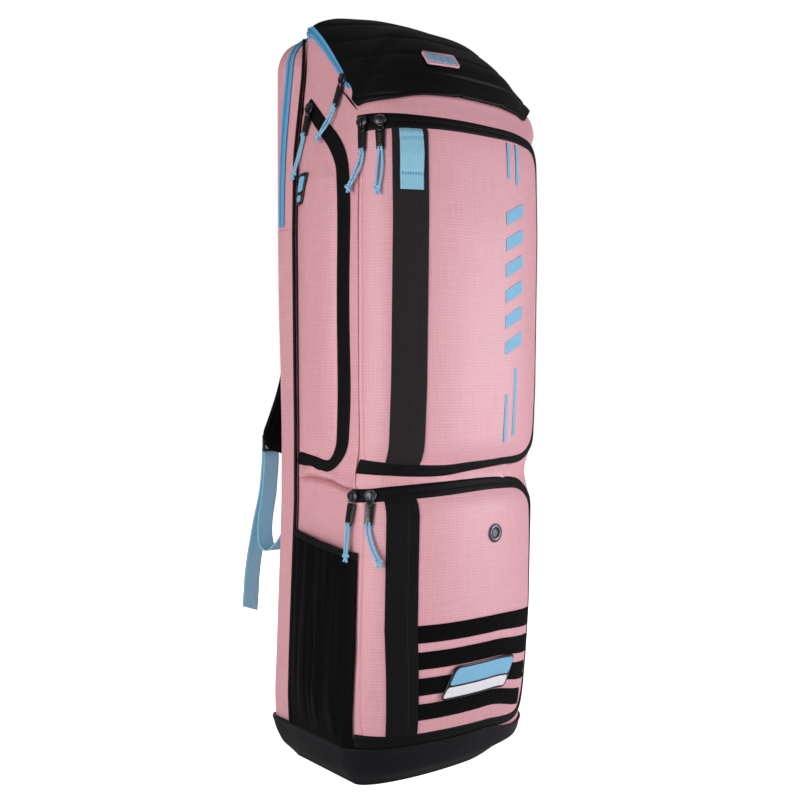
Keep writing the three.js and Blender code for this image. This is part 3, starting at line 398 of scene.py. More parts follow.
def colour_of(name, description, code):
    """A colour that a user may change."""
    return FloatVectorProperty(
        name=name, description=description, default=linear(code), size=4, min=0.0, max=1.0, subtype="COLOR")


class BagSizes(bpy.types.PropertyGroup):
    """Sizes of the bag's cloth and trim."""
    ripstop: size_of("Ripstop", "Spacing of the thick threads in the pink cloth", 3.6)
    twill: size_of("Twill", "Spacing of the slanted ribs in the black webbing", 3.4)
    rib: size_of("Rib", "Spacing of the long ribs in the blue webbing", 1.9)
    coil: size_of("Coil", "Spacing of the teeth of a zip, drawn coarser than real so that they show", 3.2)
    grain: size_of("Grain", "Size of the grain of the coated cloth", 1.2)
    cloth_wall: size_of("Cloth wall", "Thickness of the pink cloth with its foam", 2.0)
    tape_wall: size_of("Tape wall", "Thickness of webbing and loop tape", 1.5)
    lid_wall: size_of("Lid wall", "Thickness of the padded lid at its edge", 4.0)
    quilt: size_of("Quilt", "Depth of the sewn channels in the lid", 2.0)
    cord: size_of("Cord", "Diameter of the cord on the zip pulls", 3.1)
    stitch: size_of("Stitch", "Length of one stitch", 3.4)


class BagColours(bpy.types.PropertyGroup):
    """Colours of the bag's cloth and trim."""
    pink: colour_of("Pink", "Pink cloth between its thick threads", "#D7939C")
    pink_thread: colour_of("Pink thread", "Thick threads of the pink cloth", "#E7AEB6")
    lid_black: colour_of("Lid black", "Coated cloth of the lid", "#08080A")
    boot_grey: colour_of("Boot grey", "Coated cloth of the foot", "#121115")
    zip_black: colour_of("Zip black", "Tape of the black zips", "#0B0A0B")
    zip_blue: colour_of("Zip blue", "Tape of the blue zips", "#5FA3CF")
    coil_blue: colour_of("Coil blue", "Teeth of the blue zips", "#4A80A9")
    # Lighter than the low webbing's black though it is the same webbing: painted sheen, for the haze the lit
    # front catches
    webbing_black_painted_sheen: colour_of("Webbing black", "Black webbing on the upper pocket", "#262124")
    webbing_dark: colour_of("Webbing dark", "Black webbing on the low pocket and its binding", "#0F0D0F")
    strap_blue: colour_of("Strap blue", "Blue webbing of loop and straps", "#90C5DD")
    mesh_black: colour_of("Mesh black", "Stretch cloth of the low side pocket", "#040204")
    hook_black: colour_of("Hook black", "Loop tape on the low pocket", "#030203")
    cord_blue: colour_of("Cord blue", "Cord of the zip pulls", "#86BEDE")
    zinc_black: colour_of("Zinc black", "Lacquered sliders and eyelet", "#4A494E")
    plastic_black: colour_of("Plastic black", "Tabs and buckles", "#0D0D0F")
    thread_grey: colour_of("Thread grey", "Thread in the black webbing", "#3A363A")
    # Darker than the cloth: painted shade, for the shadow line along the hinge seam and in the waist's
    # creases
    seam_shade_pink: colour_of("Seam pink", "Thread in the seams of the pink cloth", "#B8757F")
    patch_blue: colour_of("Patch blue", "Field of the patch and the print", "#7DB9DA")
    white: colour_of("White", "Bar on the patch", "#ECE9EE")
    floor: colour_of("Floor", "Pale studio floor", "#F4F4F4")


def sizes():
    """The sizes set on this scene."""
    return bpy.context.scene.bag_sizes


def colours():
    """The colours set on this scene."""
    return bpy.context.scene.bag_colours


def column(table, name):
    """A column of a table as an array."""
    return np.array([getattr(row, name) for row in table], float)


def look_up(table, known, value, wanted):
    """One column of a table, read at values of another."""
    return np.interp(value, column(table, known), column(table, wanted))


def columns(*parts):
    """Numbers side by side, with a row for each place."""
    return np.stack(np.broadcast_arrays(*parts), axis=-1)


def smoothstep(value, low, high):
    """A soft step from 0 at low to 1 at high."""
    t = np.clip((value - low) / (high - low), 0, 1)
    return t * t * (3 - 2 * t)


def window(value, low, high, ease):
    """1 between low and high and 0 outside them, with soft steps inside both ends."""
    return smoothstep(value, low, low + ease) * smoothstep(-value, -high, ease - high)


def bump(value, middle, width):
    """A soft bump: 1 in its middle and 0 some widths away."""
    return np.exp(-(((value - middle) / width) ** 2))


def mix(low, high, share):
    """A value between two others."""
    return low + (high - low) * share


def hump(share, flat):
    """A hump over 0 to 1 that is level in the middle and 0 at both ends."""
    return 1 - np.abs(2 * share - 1) ** flat


def corner_cut(reach, corner):
    """How far a round corner draws a side in, by the distance to the end."""
    past = np.clip(corner - reach, 0, corner)
    return corner - np.sqrt(np.maximum(corner**2 - past**2, 0))


def level_at(name, z):
    """A column of the outline at a height, eased over its seams."""
    heights = column(OUTLINE, "z")
    values = column(OUTLINE, name)
    return np.mean([np.interp(z + step, heights, values) for step in SEAM_EASE], axis=0)


def rim_at(y):
    """The height of the lid's lower edge at a depth."""
    return np.interp(-y, -column(LID_PROFILE, "y"), column(LID_PROFILE, "rim"))


def back_half(z):
    """Half the width at the back seam, which is held straight past the waist."""
    low, high = WAIST_SPAN
    held = mix(level_at("half", low), level_at("half", high), np.clip((z - low) / (high - low), 0, 1))
    return np.where((z > low) & (z < high), held, level_at("half", z))


def lid_rim(x, y):
    """The lower edge of the soft lid: drawn up a little in front and more at the right front corner."""
    front = LID_FRONT_RISE * smoothstep(-y, *LID_FRONT_FROM)
    right = LID_RIGHT_RISE * smoothstep(x, *LID_RIGHT_FROM) * smoothstep(-y, *LID_CORNER_FROM)
    return rim_at(y) + np.maximum(front, right)


def half_section(z, back):
    """Half of a level section, from the middle of the front round the right side to that of the back."""
    half, bulge, square, tuck = (level_at(name, z) for name in Level._fields[1:])
    turn = np.linspace(0, math.pi / 2, 120)
    power = 2 / square
    front_x = half * np.sin(turn) ** power
    front_y = SIDE_FRONT - bulge * np.clip(np.cos(turn), 0, 1) ** power
    bend = np.linspace(0, math.pi / 2, 9)
    depth = back - tuck
    corner_x = back_half(z) - BACK_CORNER * (1 - np.cos(bend))
    corner_y = depth - BACK_CORNER * (1 - np.sin(bend))
    return np.hstack([front_x, corner_x, 0]), np.hstack([front_y, corner_y, depth])


def read_table(table, row, col):
    """Read a table between its cells."""
    row = np.clip(row, 0, table.shape[0] - 1.001)
    col = np.clip(col, 0, table.shape[1] - 1.001)
    i = row.astype(int)
    j = col.astype(int)
    low = mix(table[i, j], table[i, j + 1], col - j)
    high = mix(table[i + 1, j], table[i + 1, j + 1], col - j)
    return mix(low, high, row - i)


class Skin:
    """The wall of the bag: place and outward direction by height and distance round from the front."""
    z_step = 2.0
    s_step = 1.5
    y_step = 1.0
    y_first = -140.0

    def __init__(self, back):
        self.heights = np.arange(0, 1012, self.z_step)
        arcs = np.arange(0, 520, self.s_step)
        depths = np.arange(self.y_first, back, self.y_step)
        tables = {"x": [], "y": [], "out_x": [], "out_y": [], "arc": [], "total": []}
        for z in self.heights:
            x, y = half_section(z, back)
            way = np.hstack([0, np.cumsum(np.hypot(np.diff(x), np.diff(y)))])
            even_x = np.interp(arcs, way, x)
            even_y = np.interp(arcs, way, y)
            run = np.hypot(np.gradient(even_x), np.gradient(even_y))
            still = run < 0.1
            run = np.where(still, 1, run)
            tables["x"].append(even_x)
            tables["y"].append(even_y)
            tables["out_x"].append(np.where(still, 0, np.gradient(even_y) / run))
            tables["out_y"].append(np.where(still, 1, -np.gradient(even_x) / run))
            tables["arc"].append(np.interp(depths, y[:-1], way[:-1]))
            tables["total"].append(way[-1])
        self.tables = {name: np.array(rows) for name, rows in tables.items()}

    def point(self, s, z, lift=0.0):
        """Points on the skin; left of the middle of the front is minus."""
        s, z, lift = np.broadcast_arrays(np.asarray(s, float), np.asarray(z, float), np.asarray(lift, float))
        row = z / self.z_step
        col = np.abs(s) / self.s_step
        names = ("x", "y", "out_x", "out_y")
        x, y, out_x, out_y = (read_table(self.tables[name], row, col) for name in names)
        return columns(np.sign(s) * (x + lift * out_x), y + lift * out_y, z)

    def arc(self, y, z):
        """How far round the bag the skin reaches a depth."""
        y, z = np.broadcast_arrays(np.asarray(y, float), np.asarray(z, float))
        return read_table(self.tables["arc"], z / self.z_step, (y - self.y_first) / self.y_step)

    def total(self, z):
        """Half the way round the bag at a height."""
        return np.interp(z, self.heights, self.tables["total"])


BODY = Skin(BODY_BACK)
FOOT = Skin(BAG_BACK)


def settle(points):
    """The soft bag settles: its foot leans left, its back bellies out and a front corner sags."""
    x, y, z = points.T
    belly = look_up(SETTLE, "z", z, "belly") * smoothstep(y, 0, BAG_BACK)
    drop = look_up(CORNER_SAG, "z", z, "drop") * smoothstep(x, *SAG_ACROSS) * smoothstep(-y, *SAG_FORWARD)
    return points + columns(look_up(SETTLE, "z", z, "lean"), belly, -drop)


def smooth_route(points, share):
    """A smooth curve through points, read at shares of its way from 0 to 1."""
    points = np.asarray(points, float)
    held = np.vstack([2 * points[0] - points[1], points, 2 * points[-1] - points[-2]])
    spot = np.clip(np.asarray(share, float), 0, 1) * (len(points) - 1)
    first = np.minimum(spot.astype(int), len(points) - 2)
    t = (spot - first)[:, None]
    before, start, end, after = (held[first + k] for k in range(4))
    span_before, span, span_after = (
        np.maximum(np.sum((b - a) ** 2, axis=1), 1e-9)[:, None] ** 0.25
        for a, b in ((before, start), (start, end), (end, after)))
    leave = (start - before) / span_before - (end - before) / (span_before + span) + (end - start) / span
    arrive = (end - start) / span - (after - start) / (span + span_after) + (after - end) / span_after
    return ((2 * t**3 - 3 * t**2 + 1) * start + (t**3 - 2 * t**2 + t) * span * leave
            + (3 * t**2 - 2 * t**3) * end + (t**3 - t**2) * span * arrive)


def route_heading(points, share):
    """The direction of a smooth curve, as unit vectors."""
    step = 0.002
    ahead = smooth_route(points, np.minimum(share + step, 1))
    behind = smooth_route(points, np.maximum(share - step, 0))
    heading = ahead - behind
    return heading / np.linalg.norm(heading, axis=1)[:, None]


def route_length(points, share):
    """How far along a smooth curve each share is."""
    marks = np.linspace(0, 1, 400)
    steps = np.diff(smooth_route(points, marks), axis=0)
    way = np.hstack([0, np.cumsum(np.linalg.norm(steps, axis=1))])
    return np.interp(share, marks, way)


def ripple(s, z, across, up, seed):
    """Soft uneven waves from -1 to 1, about as wide and as high as given."""
    cells = 96
    knots = np.random.default_rng(seed).uniform(-1, 1, (cells, cells))
    col = np.asarray(s, float) / across + cells / 2
    row = np.asarray(z, float) / up + 1
    i = np.clip(row.astype(int), 0, cells - 2)
    j = np.clip(col.astype(int), 0, cells - 2)
    a = smoothstep(row - i, 0, 1)
    b = smoothstep(col - j, 0, 1)
    return mix(mix(knots[i, j], knots[i, j + 1], b), mix(knots[i + 1, j], knots[i + 1, j + 1], b), a)


def fold(s, z, start, end, width):
    """A soft fold along a line on the cloth: 1 on the line and 0 away from it."""
    s0, z0 = start
    run_s, run_z = end[0] - s0, end[1] - z0
    share = np.clip(((s - s0) * run_s + (z - z0) * run_z) / (run_s**2 + run_z**2), 0, 1)
    off = np.hypot(s - s0 - share * run_s, z - z0 - share * run_z)
    return bump(off, 0, width) * np.sqrt(np.sin(np.pi * np.clip(share, 0.02, 0.98)))


def dress(piece, slot, *nodes):
    """The piece rides on the bag and stands for CAD nodes, which are hidden; slot is not used."""
    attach(piece, "root")
    if nodes:
        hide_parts(*nodes)
    return piece


def add_piece(name, data, material):
    """Put a finished mesh or curve into the scene."""
    piece = bpy.data.objects.new(name, data)
    bpy.context.scene.collection.objects.link(piece)
    data.materials.append(material)
    return piece


def close_seam(piece):
    """Join the edges of a sheet that meet, and turn its faces outwards."""
    shape = bmesh.new()
    shape.from_mesh(piece.data)
    bmesh.ops.remove_doubles(shape, verts=shape.verts, dist=0.02 * MM)
    bmesh.ops.recalc_face_normals(shape, faces=shape.faces)
    shape.to_mesh(piece.data)
    shape.free()


def sheet(name, grid, place, finish, wall, slot, *nodes, closed=False):
    """A sheet of one stuff, thickened inwards by a wall.

    place(u, v) puts its grid on the bag and gives the cut of the cloth, in millimetres, as UV.
    """
    shape = bmesh.new()
    bmesh.ops.create_grid(shape, x_segments=grid[0], y_segments=grid[1], size=0.5)
    mesh = bpy.data.meshes.new(name)
    shape.to_mesh(mesh)
    shape.free()
    corners = np.empty(len(mesh.vertices) * 3)
    mesh.vertices.foreach_get("co", corners)
    u, v = corners.reshape(-1, 3)[:, :2].T + 0.5
    points, cut = place(u, v)
    mesh.vertices.foreach_set("co", (settle(points) * MM).ravel())
    owners = np.empty(len(mesh.loops), np.int32)
    mesh.loops.foreach_get("vertex_index", owners)
    flat = mesh.uv_layers.new(name="cut")
    flat.data.foreach_set("uv", (cut * MM)[owners].ravel())
    mesh.shade_smooth()
    mesh.update()
    piece = add_piece(name, mesh, stuff(finish))
    if closed:
        close_seam(piece)
    if wall:
        solid = piece.modifiers.new("wall", "SOLIDIFY")
        solid.thickness = wall
        solid.offset = -1.0
    return dress(piece, slot, *nodes)


def solid_piece(name, shape, finish, slot, *nodes):
    """A piece from a shape in millimetres, settled as the bag is."""
    mesh = bpy.data.meshes.new(name)
    shape.to_mesh(mesh)
    shape.free()
    places = np.empty(len(mesh.vertices) * 3)
    mesh.vertices.foreach_get("co", places)
    mesh.vertices.foreach_set("co", (settle(places.reshape(-1, 3)) * MM).ravel())
    mesh.shade_smooth()
    mesh.update()
    return dress(add_piece(name, mesh, stuff(finish)), slot, *nodes)


def add_run(line, points, cyclic=False):
    """One run of a tube."""
    run = line.splines.new("POLY")
    run.points.add(len(points) - 1)
    run.points.foreach_set("co", np.hstack([points, np.ones((len(points), 1))]).ravel())
    run.use_cyclic_u = cyclic


def tube(name, points, radius, finish, slot, *nodes, cyclic=False, more=()):
    """A round tube along points given in metres, with more runs beside it."""
    line = bpy.data.curves.new(name, "CURVE")
    line.dimensions = "3D"
    line.bevel_depth = radius
    line.bevel_resolution = 3
    line.use_fill_caps = True
    add_run(line, points, cyclic)
    for run in more:
        add_run(line, run)
    return dress(add_piece(name, line, stuff(finish)), slot, *nodes)


def stitches(name, places, finish, slot):
    """A row of stitches, each lying from one place to the next but one."""
    thread = 0.45
    shape = bmesh.new()
    for start, end in zip(places[:-1:2], places[1::2]):
        start, end = Vector(start), Vector(end)
        turn = (end - start).to_track_quat("X", "Z").to_matrix().to_4x4()
        stretch = Matrix.Diagonal(((end - start).length / 2, thread, thread, 1))
        bmesh.ops.create_icosphere(
            shape, subdivisions=1, radius=1.0, matrix=Matrix.Translation((start + end) / 2) @ turn @ stretch)
    solid_piece(name, shape, finish, slot)


def stitch_marks(length):
    """Shares of a seam where stitches start and end."""
    count = max(int(length / (sizes().stitch / MM)), 2)
    return np.linspace(0, 1, 2 * count)


def tape_place(route, profile):
    """A tape laid on the skin along a route, with a height for each place across it."""
    rows = np.array([tuple(row) for row in route], float)

    def place(u, v):
        at = smooth_route(rows, u)
        heading = route_heading(rows[:, :2], u)
        across = (v - 0.5) * at[:, 2]
        s = at[:, 0] - heading[:, 1] * across
        z = at[:, 1] + heading[:, 0] * across
        return BODY.point(s, z, profile(v)), columns(route_length(rows[:, :2], u), across)

    return place


def covered_zip(v):
    """Across a covered zip: flat sewn edges, two soft flaps and the slit between them."""
    return 1.0 + 1.2 * smoothstep(np.minimum(v, 1 - v), 0.0, 0.16) - 0.9 * bump(v, 0.5, 0.045)


def flat_zip(v):
    """Across a plain taped zip: flat, with rounded edges and a faint line where the flaps meet."""
    return 1.1 + 1.0 * smoothstep(np.minimum(v, 1 - v), 0.0, 0.1) - 0.25 * bump(v, 0.5, 0.03)


def coil_zip(v):
    """Across an open zip: flat tape and the round coil in the middle."""
    return 0.9 + 1.3 * np.exp(-(((v - 0.5) / 0.15) ** 4))


def drift_at(z):
    """How far the low webbing has drifted to the right at a height."""
    return WEBBING_DRIFT * np.maximum(0, DRIFT_BELOW - z)


def trim_place(trim, lift):
    """A strip of trim on the skin, with a lift for each place on it."""
    def place(u, v):
        s = mix(trim.left, trim.right, u)
        z = mix(trim.bottom, trim.top, v)
        return BODY.point(s + drift_at(z), z, lift(u, v)), columns(s, z)

    return place


# Materials; the colour sockets of a Mix node have no names of their own
MIX_A = 6
MIX_B = 7
MIX_RESULT = 2


def add_node(tree, kind, inputs=None, **settings):
    """Add a shader node with its settings, and set or link its inputs."""
    made = tree.nodes.new(f"ShaderNode{kind}")
    for field, value in settings.items():
        setattr(made, field, value)
    for socket, value in (inputs or {}).items():
        if isinstance(value, bpy.types.NodeSocket):
            tree.links.new(value, made.inputs[socket])
        else:
            made.inputs[socket].default_value = value
    return made


class Look:
    """A material in the making: one shader, with its paint and its relief."""

    def __init__(self, name, **numbers):
        self.material = bpy.data.materials.new(name)
        self.material.use_nodes = True
        self.tree = self.material.node_tree
        self.shader = self.tree.nodes["Principled BSDF"]
        for socket, value in numbers.items():
            self.shader.inputs[socket.replace("_", " ")].default_value = value

    def read(self, kind, output, inputs=None, **settings):
        """Add a node and give one of its outputs."""
        return add_node(self.tree, kind, inputs, **settings).outputs[output]

    def cut(self):
        """Places on the cut of the cloth."""
        return self.read("UVMap", "UV", uv_map="cut")

    def place(self):
        """Places in the piece's own axes."""
        return self.read("TexCoord", "Object")

    def noise(self, vector, scale, detail, **more):
        """Uneven spots."""
        return self.read("TexNoise", "Fac", {"Vector": vector, "Scale": scale, "Detail": detail, **more})

    def bands(self, vector, period, way="X", **more):
        """Bands that are a real distance apart."""
        inputs = {"Vector": vector, "Scale": 2 * math.pi / (20 * period), **more}
        return self.read("TexWave", "Fac", inputs, wave_type="BANDS", bands_direction=way)

    def maths(self, operation, *values):
        """A sum on values."""
        return self.read("Math", "Value", dict(enumerate(values)), operation=operation)

    def span(self, value, low, high, start=0.0, end=1.0):
        """From low to high, as a value goes from start to end."""
        return self.read("MapRange", "Result", {
            "Value": value, "From Min": start, "From Max": end, "To Min": low, "To Max": high})

    def shade(self, colour, tone):
        """Paint in one colour, lighter and darker by a tone."""
        paint = self.read("VectorMath", "Vector", {0: tuple(colour)[:3], 1: tone}, operation="MULTIPLY")
        self.tree.links.new(paint, self.shader.inputs["Base Color"])

    def blend(self, share, colour, other):
        """Paint in two colours."""
        inputs = {"Factor": share, MIX_A: tuple(colour), MIX_B: tuple(other)}
        paint = self.read("Mix", MIX_RESULT, inputs, data_type="RGBA")
        self.tree.links.new(paint, self.shader.inputs["Base Color"])

    def relief(self, height, strength, distance):
        """Raise the face, and give the finished material."""
        normal = self.read("Bump", "Normal", {"Height": height, "Strength": strength, "Distance": distance})
        self.tree.links.new(normal, self.shader.inputs["Normal"])
        return self.material


def slub_ripstop(name):
    """Polyester woven with slub yarn and a ripstop grid: matt, with pale uneven lines both ways."""
    look = Look(name, Roughness=0.5, IOR=1.5, Specular_IOR_Level=0.7)
    cut = look.cut()
    uneven = {"Distortion": 1.6, "Detail": 1.0, "Detail Scale": 0.35}
    threads = []
    for way, stretch in (("X", (520, 26, 1)), ("Y", (26, 520, 1))):
        line = look.maths("POWER", look.bands(cut, sizes().ripstop, way, **uneven), 4.0)
        slub = look.noise(look.read("Mapping", "Vector", {"Vector": cut, "Scale": stretch}), 1.0, 1.0)
        threads.append(look.maths("MULTIPLY_ADD", slub, 0.55, look.maths("MULTIPLY", line, slub)))
    weave = look.maths("ADD", *threads)
    look.blend(look.span(weave, 0.0, 1.0, 0.2, 1.6), colours().pink, colours().pink_thread)
    return look.relief(weave, 0.25, 0.0005)


def coated_cloth(name, colour, gloss):
    """Nylon with a polymer coat: a dark, fine-grained face with a soft wide gloss."""
    look = Look(name, Roughness=0.5, IOR=1.5, Specular_IOR_Level=gloss)
    place = look.place()
    look.shade(colour, look.span(look.noise(place, 14.0, 3.0), 0.8, 1.35, 0.3, 0.7))
    return look.relief(look.noise(place, 1 / sizes().grain, 2.0, Roughness=0.6), 0.3, 0.0003)


def twill_webbing(name, colour, period, slant, roughness):
    """Woven webbing: close ribs that catch the light, with a slightly uneven dye."""
    look = Look(name, Roughness=roughness, IOR=1.5, Specular_IOR_Level=0.14)
    cut = look.cut()
    turned = look.read("Mapping", "Vector", {"Vector": cut, "Rotation": (0, 0, slant)})
    ribs = look.bands(turned, period, Distortion=0.4, Detail=1.0)
    height = look.maths("MULTIPLY_ADD", look.noise(cut, 900.0, 1.0), 0.6, ribs)
    look.shade(colour, look.span(height, 0.72, 1.22, 0.0, 1.6))
    return look.relief(height, 0.5, 0.0005)


def zip_tape(name, colour, coil_colour, coil_half):
    """Polyester zip tape: fine cross ribs, and a toothed coil down the middle."""
    look = Look(name, Roughness=0.6, IOR=1.5, Specular_IOR_Level=0.12)
    cut = look.cut()
    off = look.maths("ABSOLUTE", look.read("SeparateXYZ", "Y", {"Vector": cut}))
    on_coil = look.span(off, 1.0, 0.0, 0.8 * coil_half, 1.2 * coil_half)
    look.blend(on_coil, colour, coil_colour)
    height = look.maths("MULTIPLY", look.bands(cut, sizes().coil), look.span(on_coil, 0.25, 1.0))
    return look.relief(height, 0.5, 0.0006)


def stretch_mesh(name):
    """Knitted stretch mesh: nearly black, with small open cells in rows and a faint sheen on folds."""
    cell = 2.4 * MM
    look = Look(name, Roughness=0.6, IOR=1.5, Specular_IOR_Level=0.07)
    rows = look.read("TexVoronoi", "Distance", {"Vector": look.cut(), "Scale": 1 / cell, "Randomness": 0.25})
    look.shade(colours().mesh_black, look.span(rows, 0.35, 1.4, 0.0, 0.7))
    return look.relief(rows, 0.5, 0.0005)


def loop_tape(name):
    """Brushed loop tape: a deep black pile with no gloss."""
    pile = 1.6 * MM
    look = Look(name, Roughness=0.95, Specular_IOR_Level=0.05, Sheen_Weight=0.03, Sheen_Roughness=0.6)
    loops = look.noise(look.place(), 1 / pile, 3.0, Roughness=0.75)
    look.shade(colours().hook_black, look.span(loops, 0.4, 2.2, 0.3, 0.75))
    return look.relief(loops, 0.8, 0.0008)


def braided_cord(name):
    """Braided polyester cord: slanted plaits in two blues."""
    plait = 1.8 * MM
    look = Look(name, Roughness=0.7, Specular_IOR_Level=0.3, Sheen_Weight=0.15)
    plaits = look.bands(look.place(), plait, "DIAGONAL", Distortion=1.0)
    look.shade(colours().cord_blue, look.span(plaits, 0.82, 1.15))
    return look.relief(plaits, 0.4, 0.0003)


def moulded(name, colour, roughness, metallic=0.0, wear=0.2):
    """A moulded or lacquered face: smooth gloss with a faint pebble and worn lighter spots."""
    look = Look(name, Roughness=roughness, Metallic=metallic, Specular_IOR_Level=0.45)
    place = look.place()
    look.shade(colour, look.span(look.noise(place, 160.0, 3.0), 1 - wear, 1 + wear, 0.3, 0.75))
    return look.relief(look.noise(place, 900.0, 2.0), 0.15, 0.0002)


def stuff(name):
    """A material by the name of the stuff, made when it is first asked for."""
    tint = colours()
    slant = math.radians(35)
    makers = {
        "slub_ripstop_polyester": (slub_ripstop,),
        "coated_nylon": (coated_cloth, tint.lid_black, 0.16),
        "coated_tarpaulin": (coated_cloth, tint.boot_grey, 0.13),
        "black_zip_tape": (zip_tape, tint.zip_black, tint.zip_black, 0.9 * MM),
        "blue_zip_tape": (zip_tape, tint.zip_blue, tint.coil_blue, 0.8 * MM),
        # The same webbing as the dark one, painted lighter for a sheen
        "nylon_twill_webbing": (twill_webbing, tint.webbing_black_painted_sheen, sizes().twill, slant, 0.7),
        "dark_twill_webbing": (twill_webbing, tint.webbing_dark, sizes().twill, slant, 0.75),
        "ribbed_blue_webbing": (twill_webbing, tint.strap_blue, sizes().rib, 0.0, 0.8),
        "knitted_stretch_mesh": (stretch_mesh,),
        "brushed_loop_tape": (loop_tape,),
        "braided_polyester_cord": (braided_cord,),
        "moulded_acetal": (moulded, tint.plastic_black, 0.24),
        "lacquered_zinc": (moulded, tint.zinc_black, 0.28, 0.9),
        "blue_print": (moulded, tint.patch_blue, 0.6, 0.0, 0.04),
        "blue_thread": (moulded, tint.coil_blue, 0.8),
        "grey_thread": (moulded, tint.thread_grey, 0.8),
        # Its dark pink is painted shade along the hinge seam and in the waist creases
        "pink_thread": (moulded, tint.seam_shade_pink, 0.8),
        "white_rubber": (moulded, tint.white, 0.55, 0.0, 0.03),
        "pink_rubber": (moulded, tint.pink_thread, 0.55, 0.0, 0.06),
    }
    if name not in bpy.data.materials:
        maker, *facts = makers[name]
        maker(name, *facts)
    return bpy.data.materials[name]


# Pieces of the bag

def pocket_edge(route, z):
    """Where the round right edge of a pocket door lies, along the middle of its zip."""
    right = [row for row in route if row.s >= DOOR_EDGE_FROM]
    return look_up(sorted(right, key=lambda row: row.z), "z", z, "s")


def waist_at(s, z, reach):
    """The height of the waist's crease, with a soft wave."""
    return look_up(WAIST, "s", reach, "z") + 1.5 * ripple(s, z, 30, 90, 14)


def body_relief(s, z):
    """Folds and waves of the body's cloth."""
    reach = np.abs(s)
    side = smoothstep(reach, *FOLDS["side"])
    lift = 0.9 * ripple(s, z, 70, 150, 11) + 0.35 * ripple(s, z, 24, 60, 12)
    gathers = bump(z, mix(384, look_up(WAIST, "s", reach, "z") + 4, side), 18) * mix(0.6, 1, side)
    lift = lift + 2.3 * gathers * ripple(s, z, 11, 40, 13)
    above = z - waist_at(s, z, reach)
    lift = lift + side * (2.4 * bump(above, 9, 6) - 8.0 * bump(above, 0, 2.4) + 0.8 * bump(above, -9, 6))
    corner = fold(s, z, (-178, 846), (-120, 834), 5) - fold(s, z, (-185, 838), (-130, 840), 4)
    front = 1 - smoothstep(reach, *FOLDS["front"])
    shoulder = smoothstep(s, *SHOULDER["right"]) * smoothstep(-s, *SHOULDER["back"])
    shoulder = shoulder * smoothstep(z, *SHOULDER["low"]) * smoothstep(-z, *SHOULDER["high"])
    lift = (lift + SHOULDER["swell"] * shoulder) * (1 - smoothstep(reach, *FOLDS["back"]))
    return lift + 1.6 * corner - 2.6 * front * smoothstep(z, *FOLDS["under_lid"])


def make_body():
    """The pink body: one wall from the foot up to the lid, finest at the waist, set back under the doors."""
    turn = 2 * math.pi
    close = 0.5
    waist = 0.445
    back_edge = BODY_BACK - 1.5
    first_guess = 870.0

    def place(u, v):
        way = 2 * u - 1
        top = np.full_like(u, first_guess)
        for _ in range(8):
            edge = BODY.point(way * BODY.arc(back_edge, top), top)
            top = lid_rim(edge[:, 0], edge[:, 1]) - LID_SEAM
        z = mix(BODY_BOTTOM, top, v - close / turn * (np.sin(turn * (v - waist)) + np.sin(turn * waist)))
        s = way * BODY.arc(back_edge, z)
        behind_upper = window(z, *RECESS["upper"], RECESS["ease"]) * (s < pocket_edge(UPPER_ZIP, z))
        behind_lower = window(z, *RECESS["lower"], RECESS["ease"]) * (s < pocket_edge(LOWER_ZIP, z))
        recess = smoothstep(s + BODY.arc(POCKET_BACK, z), 0, 4) * np.maximum(behind_upper, behind_lower)
        beside = smoothstep(BODY.point(s, z)[:, 1] - panel_edge(z), -4, 6) * (s < 0)
        beside = beside * window(z, SIDE_PANEL["bottom"] - 6, SIDE_PANEL["top"] + 6, 8)
        lift = body_relief(s, z) * (1 - 0.6 * beside) - RECESS["deep"] * recess - 1.2 * beside
        return BODY.point(s, z, lift), columns(s, z)

    sheet("body_cloth", (190, 220), place, PINK, sizes().cloth_wall, "pink_cloth", "main_body")


def make_doors():
    """The pocket doors: foam-backed cloth from the hinge seam to the zip."""
    for door in DOORS:
        def place(u, v, door=door):
            z = mix(door.bottom, door.top, v)
            hinge = BODY.arc(POCKET_BACK, z)
            s = mix(-hinge, pocket_edge(door.route, z), u)
            puff = 1.4 * hump(u, 6) * hump(v, 6)
            wave = 0.5 * ripple(s, z, 60, 110, door.seed) * hump(u, 4) * hump(v, 4)
            return BODY.point(s, z, 0.4 + puff + wave - 1.8 * bump(s, -hinge, 1.6)), columns(s, z)

        sheet(f"{door.name}_cloth", (150, 170), place, PINK, sizes().cloth_wall, "pink_cloth", door.name)


def make_hinge_seam_and_shade():
    """The sewn line beside the upper pocket's hinge, down to the crease of the waist; its dark pink is
    painted shade along the seam.
    """
    past = 3.5
    straight = 440
    top = 804
    z = np.linspace(WAIST[0].z + 3, top, 110)
    hinge = BODY.arc(POCKET_BACK, np.maximum(z, straight)) + past
    s = -mix(WAIST[0].s, hinge, smoothstep(z, WAIST[0].z, straight))
    points = settle(BODY.point(s, z, mix(1.4, 0.4, smoothstep(z, 400, straight)))) * MM
    tube("upper_pocket_hinge_seam", points, 0.7 * MM, "pink_thread", "pink_cloth")


def make_waist_crease_shadows():
    """Dark pink lines at the bottom of the waist's creases: painted shade of the folds, drawn as thin tubes.
    """
    s = np.linspace(WAIST[0].s - 4, WAIST[-1].s, 60)
    for label, side in SIDES:
        z = waist_at(side * s, look_up(WAIST, "s", s, "z"), s)
        # Sunk below the cloth so that the tube shows as a painted shadow line in the crease
        points = settle(BODY.point(side * s, z, -1.6)) * MM
        tube(f"waist_seam_{label}", points, 0.8 * MM, "pink_thread", "pink_cloth")


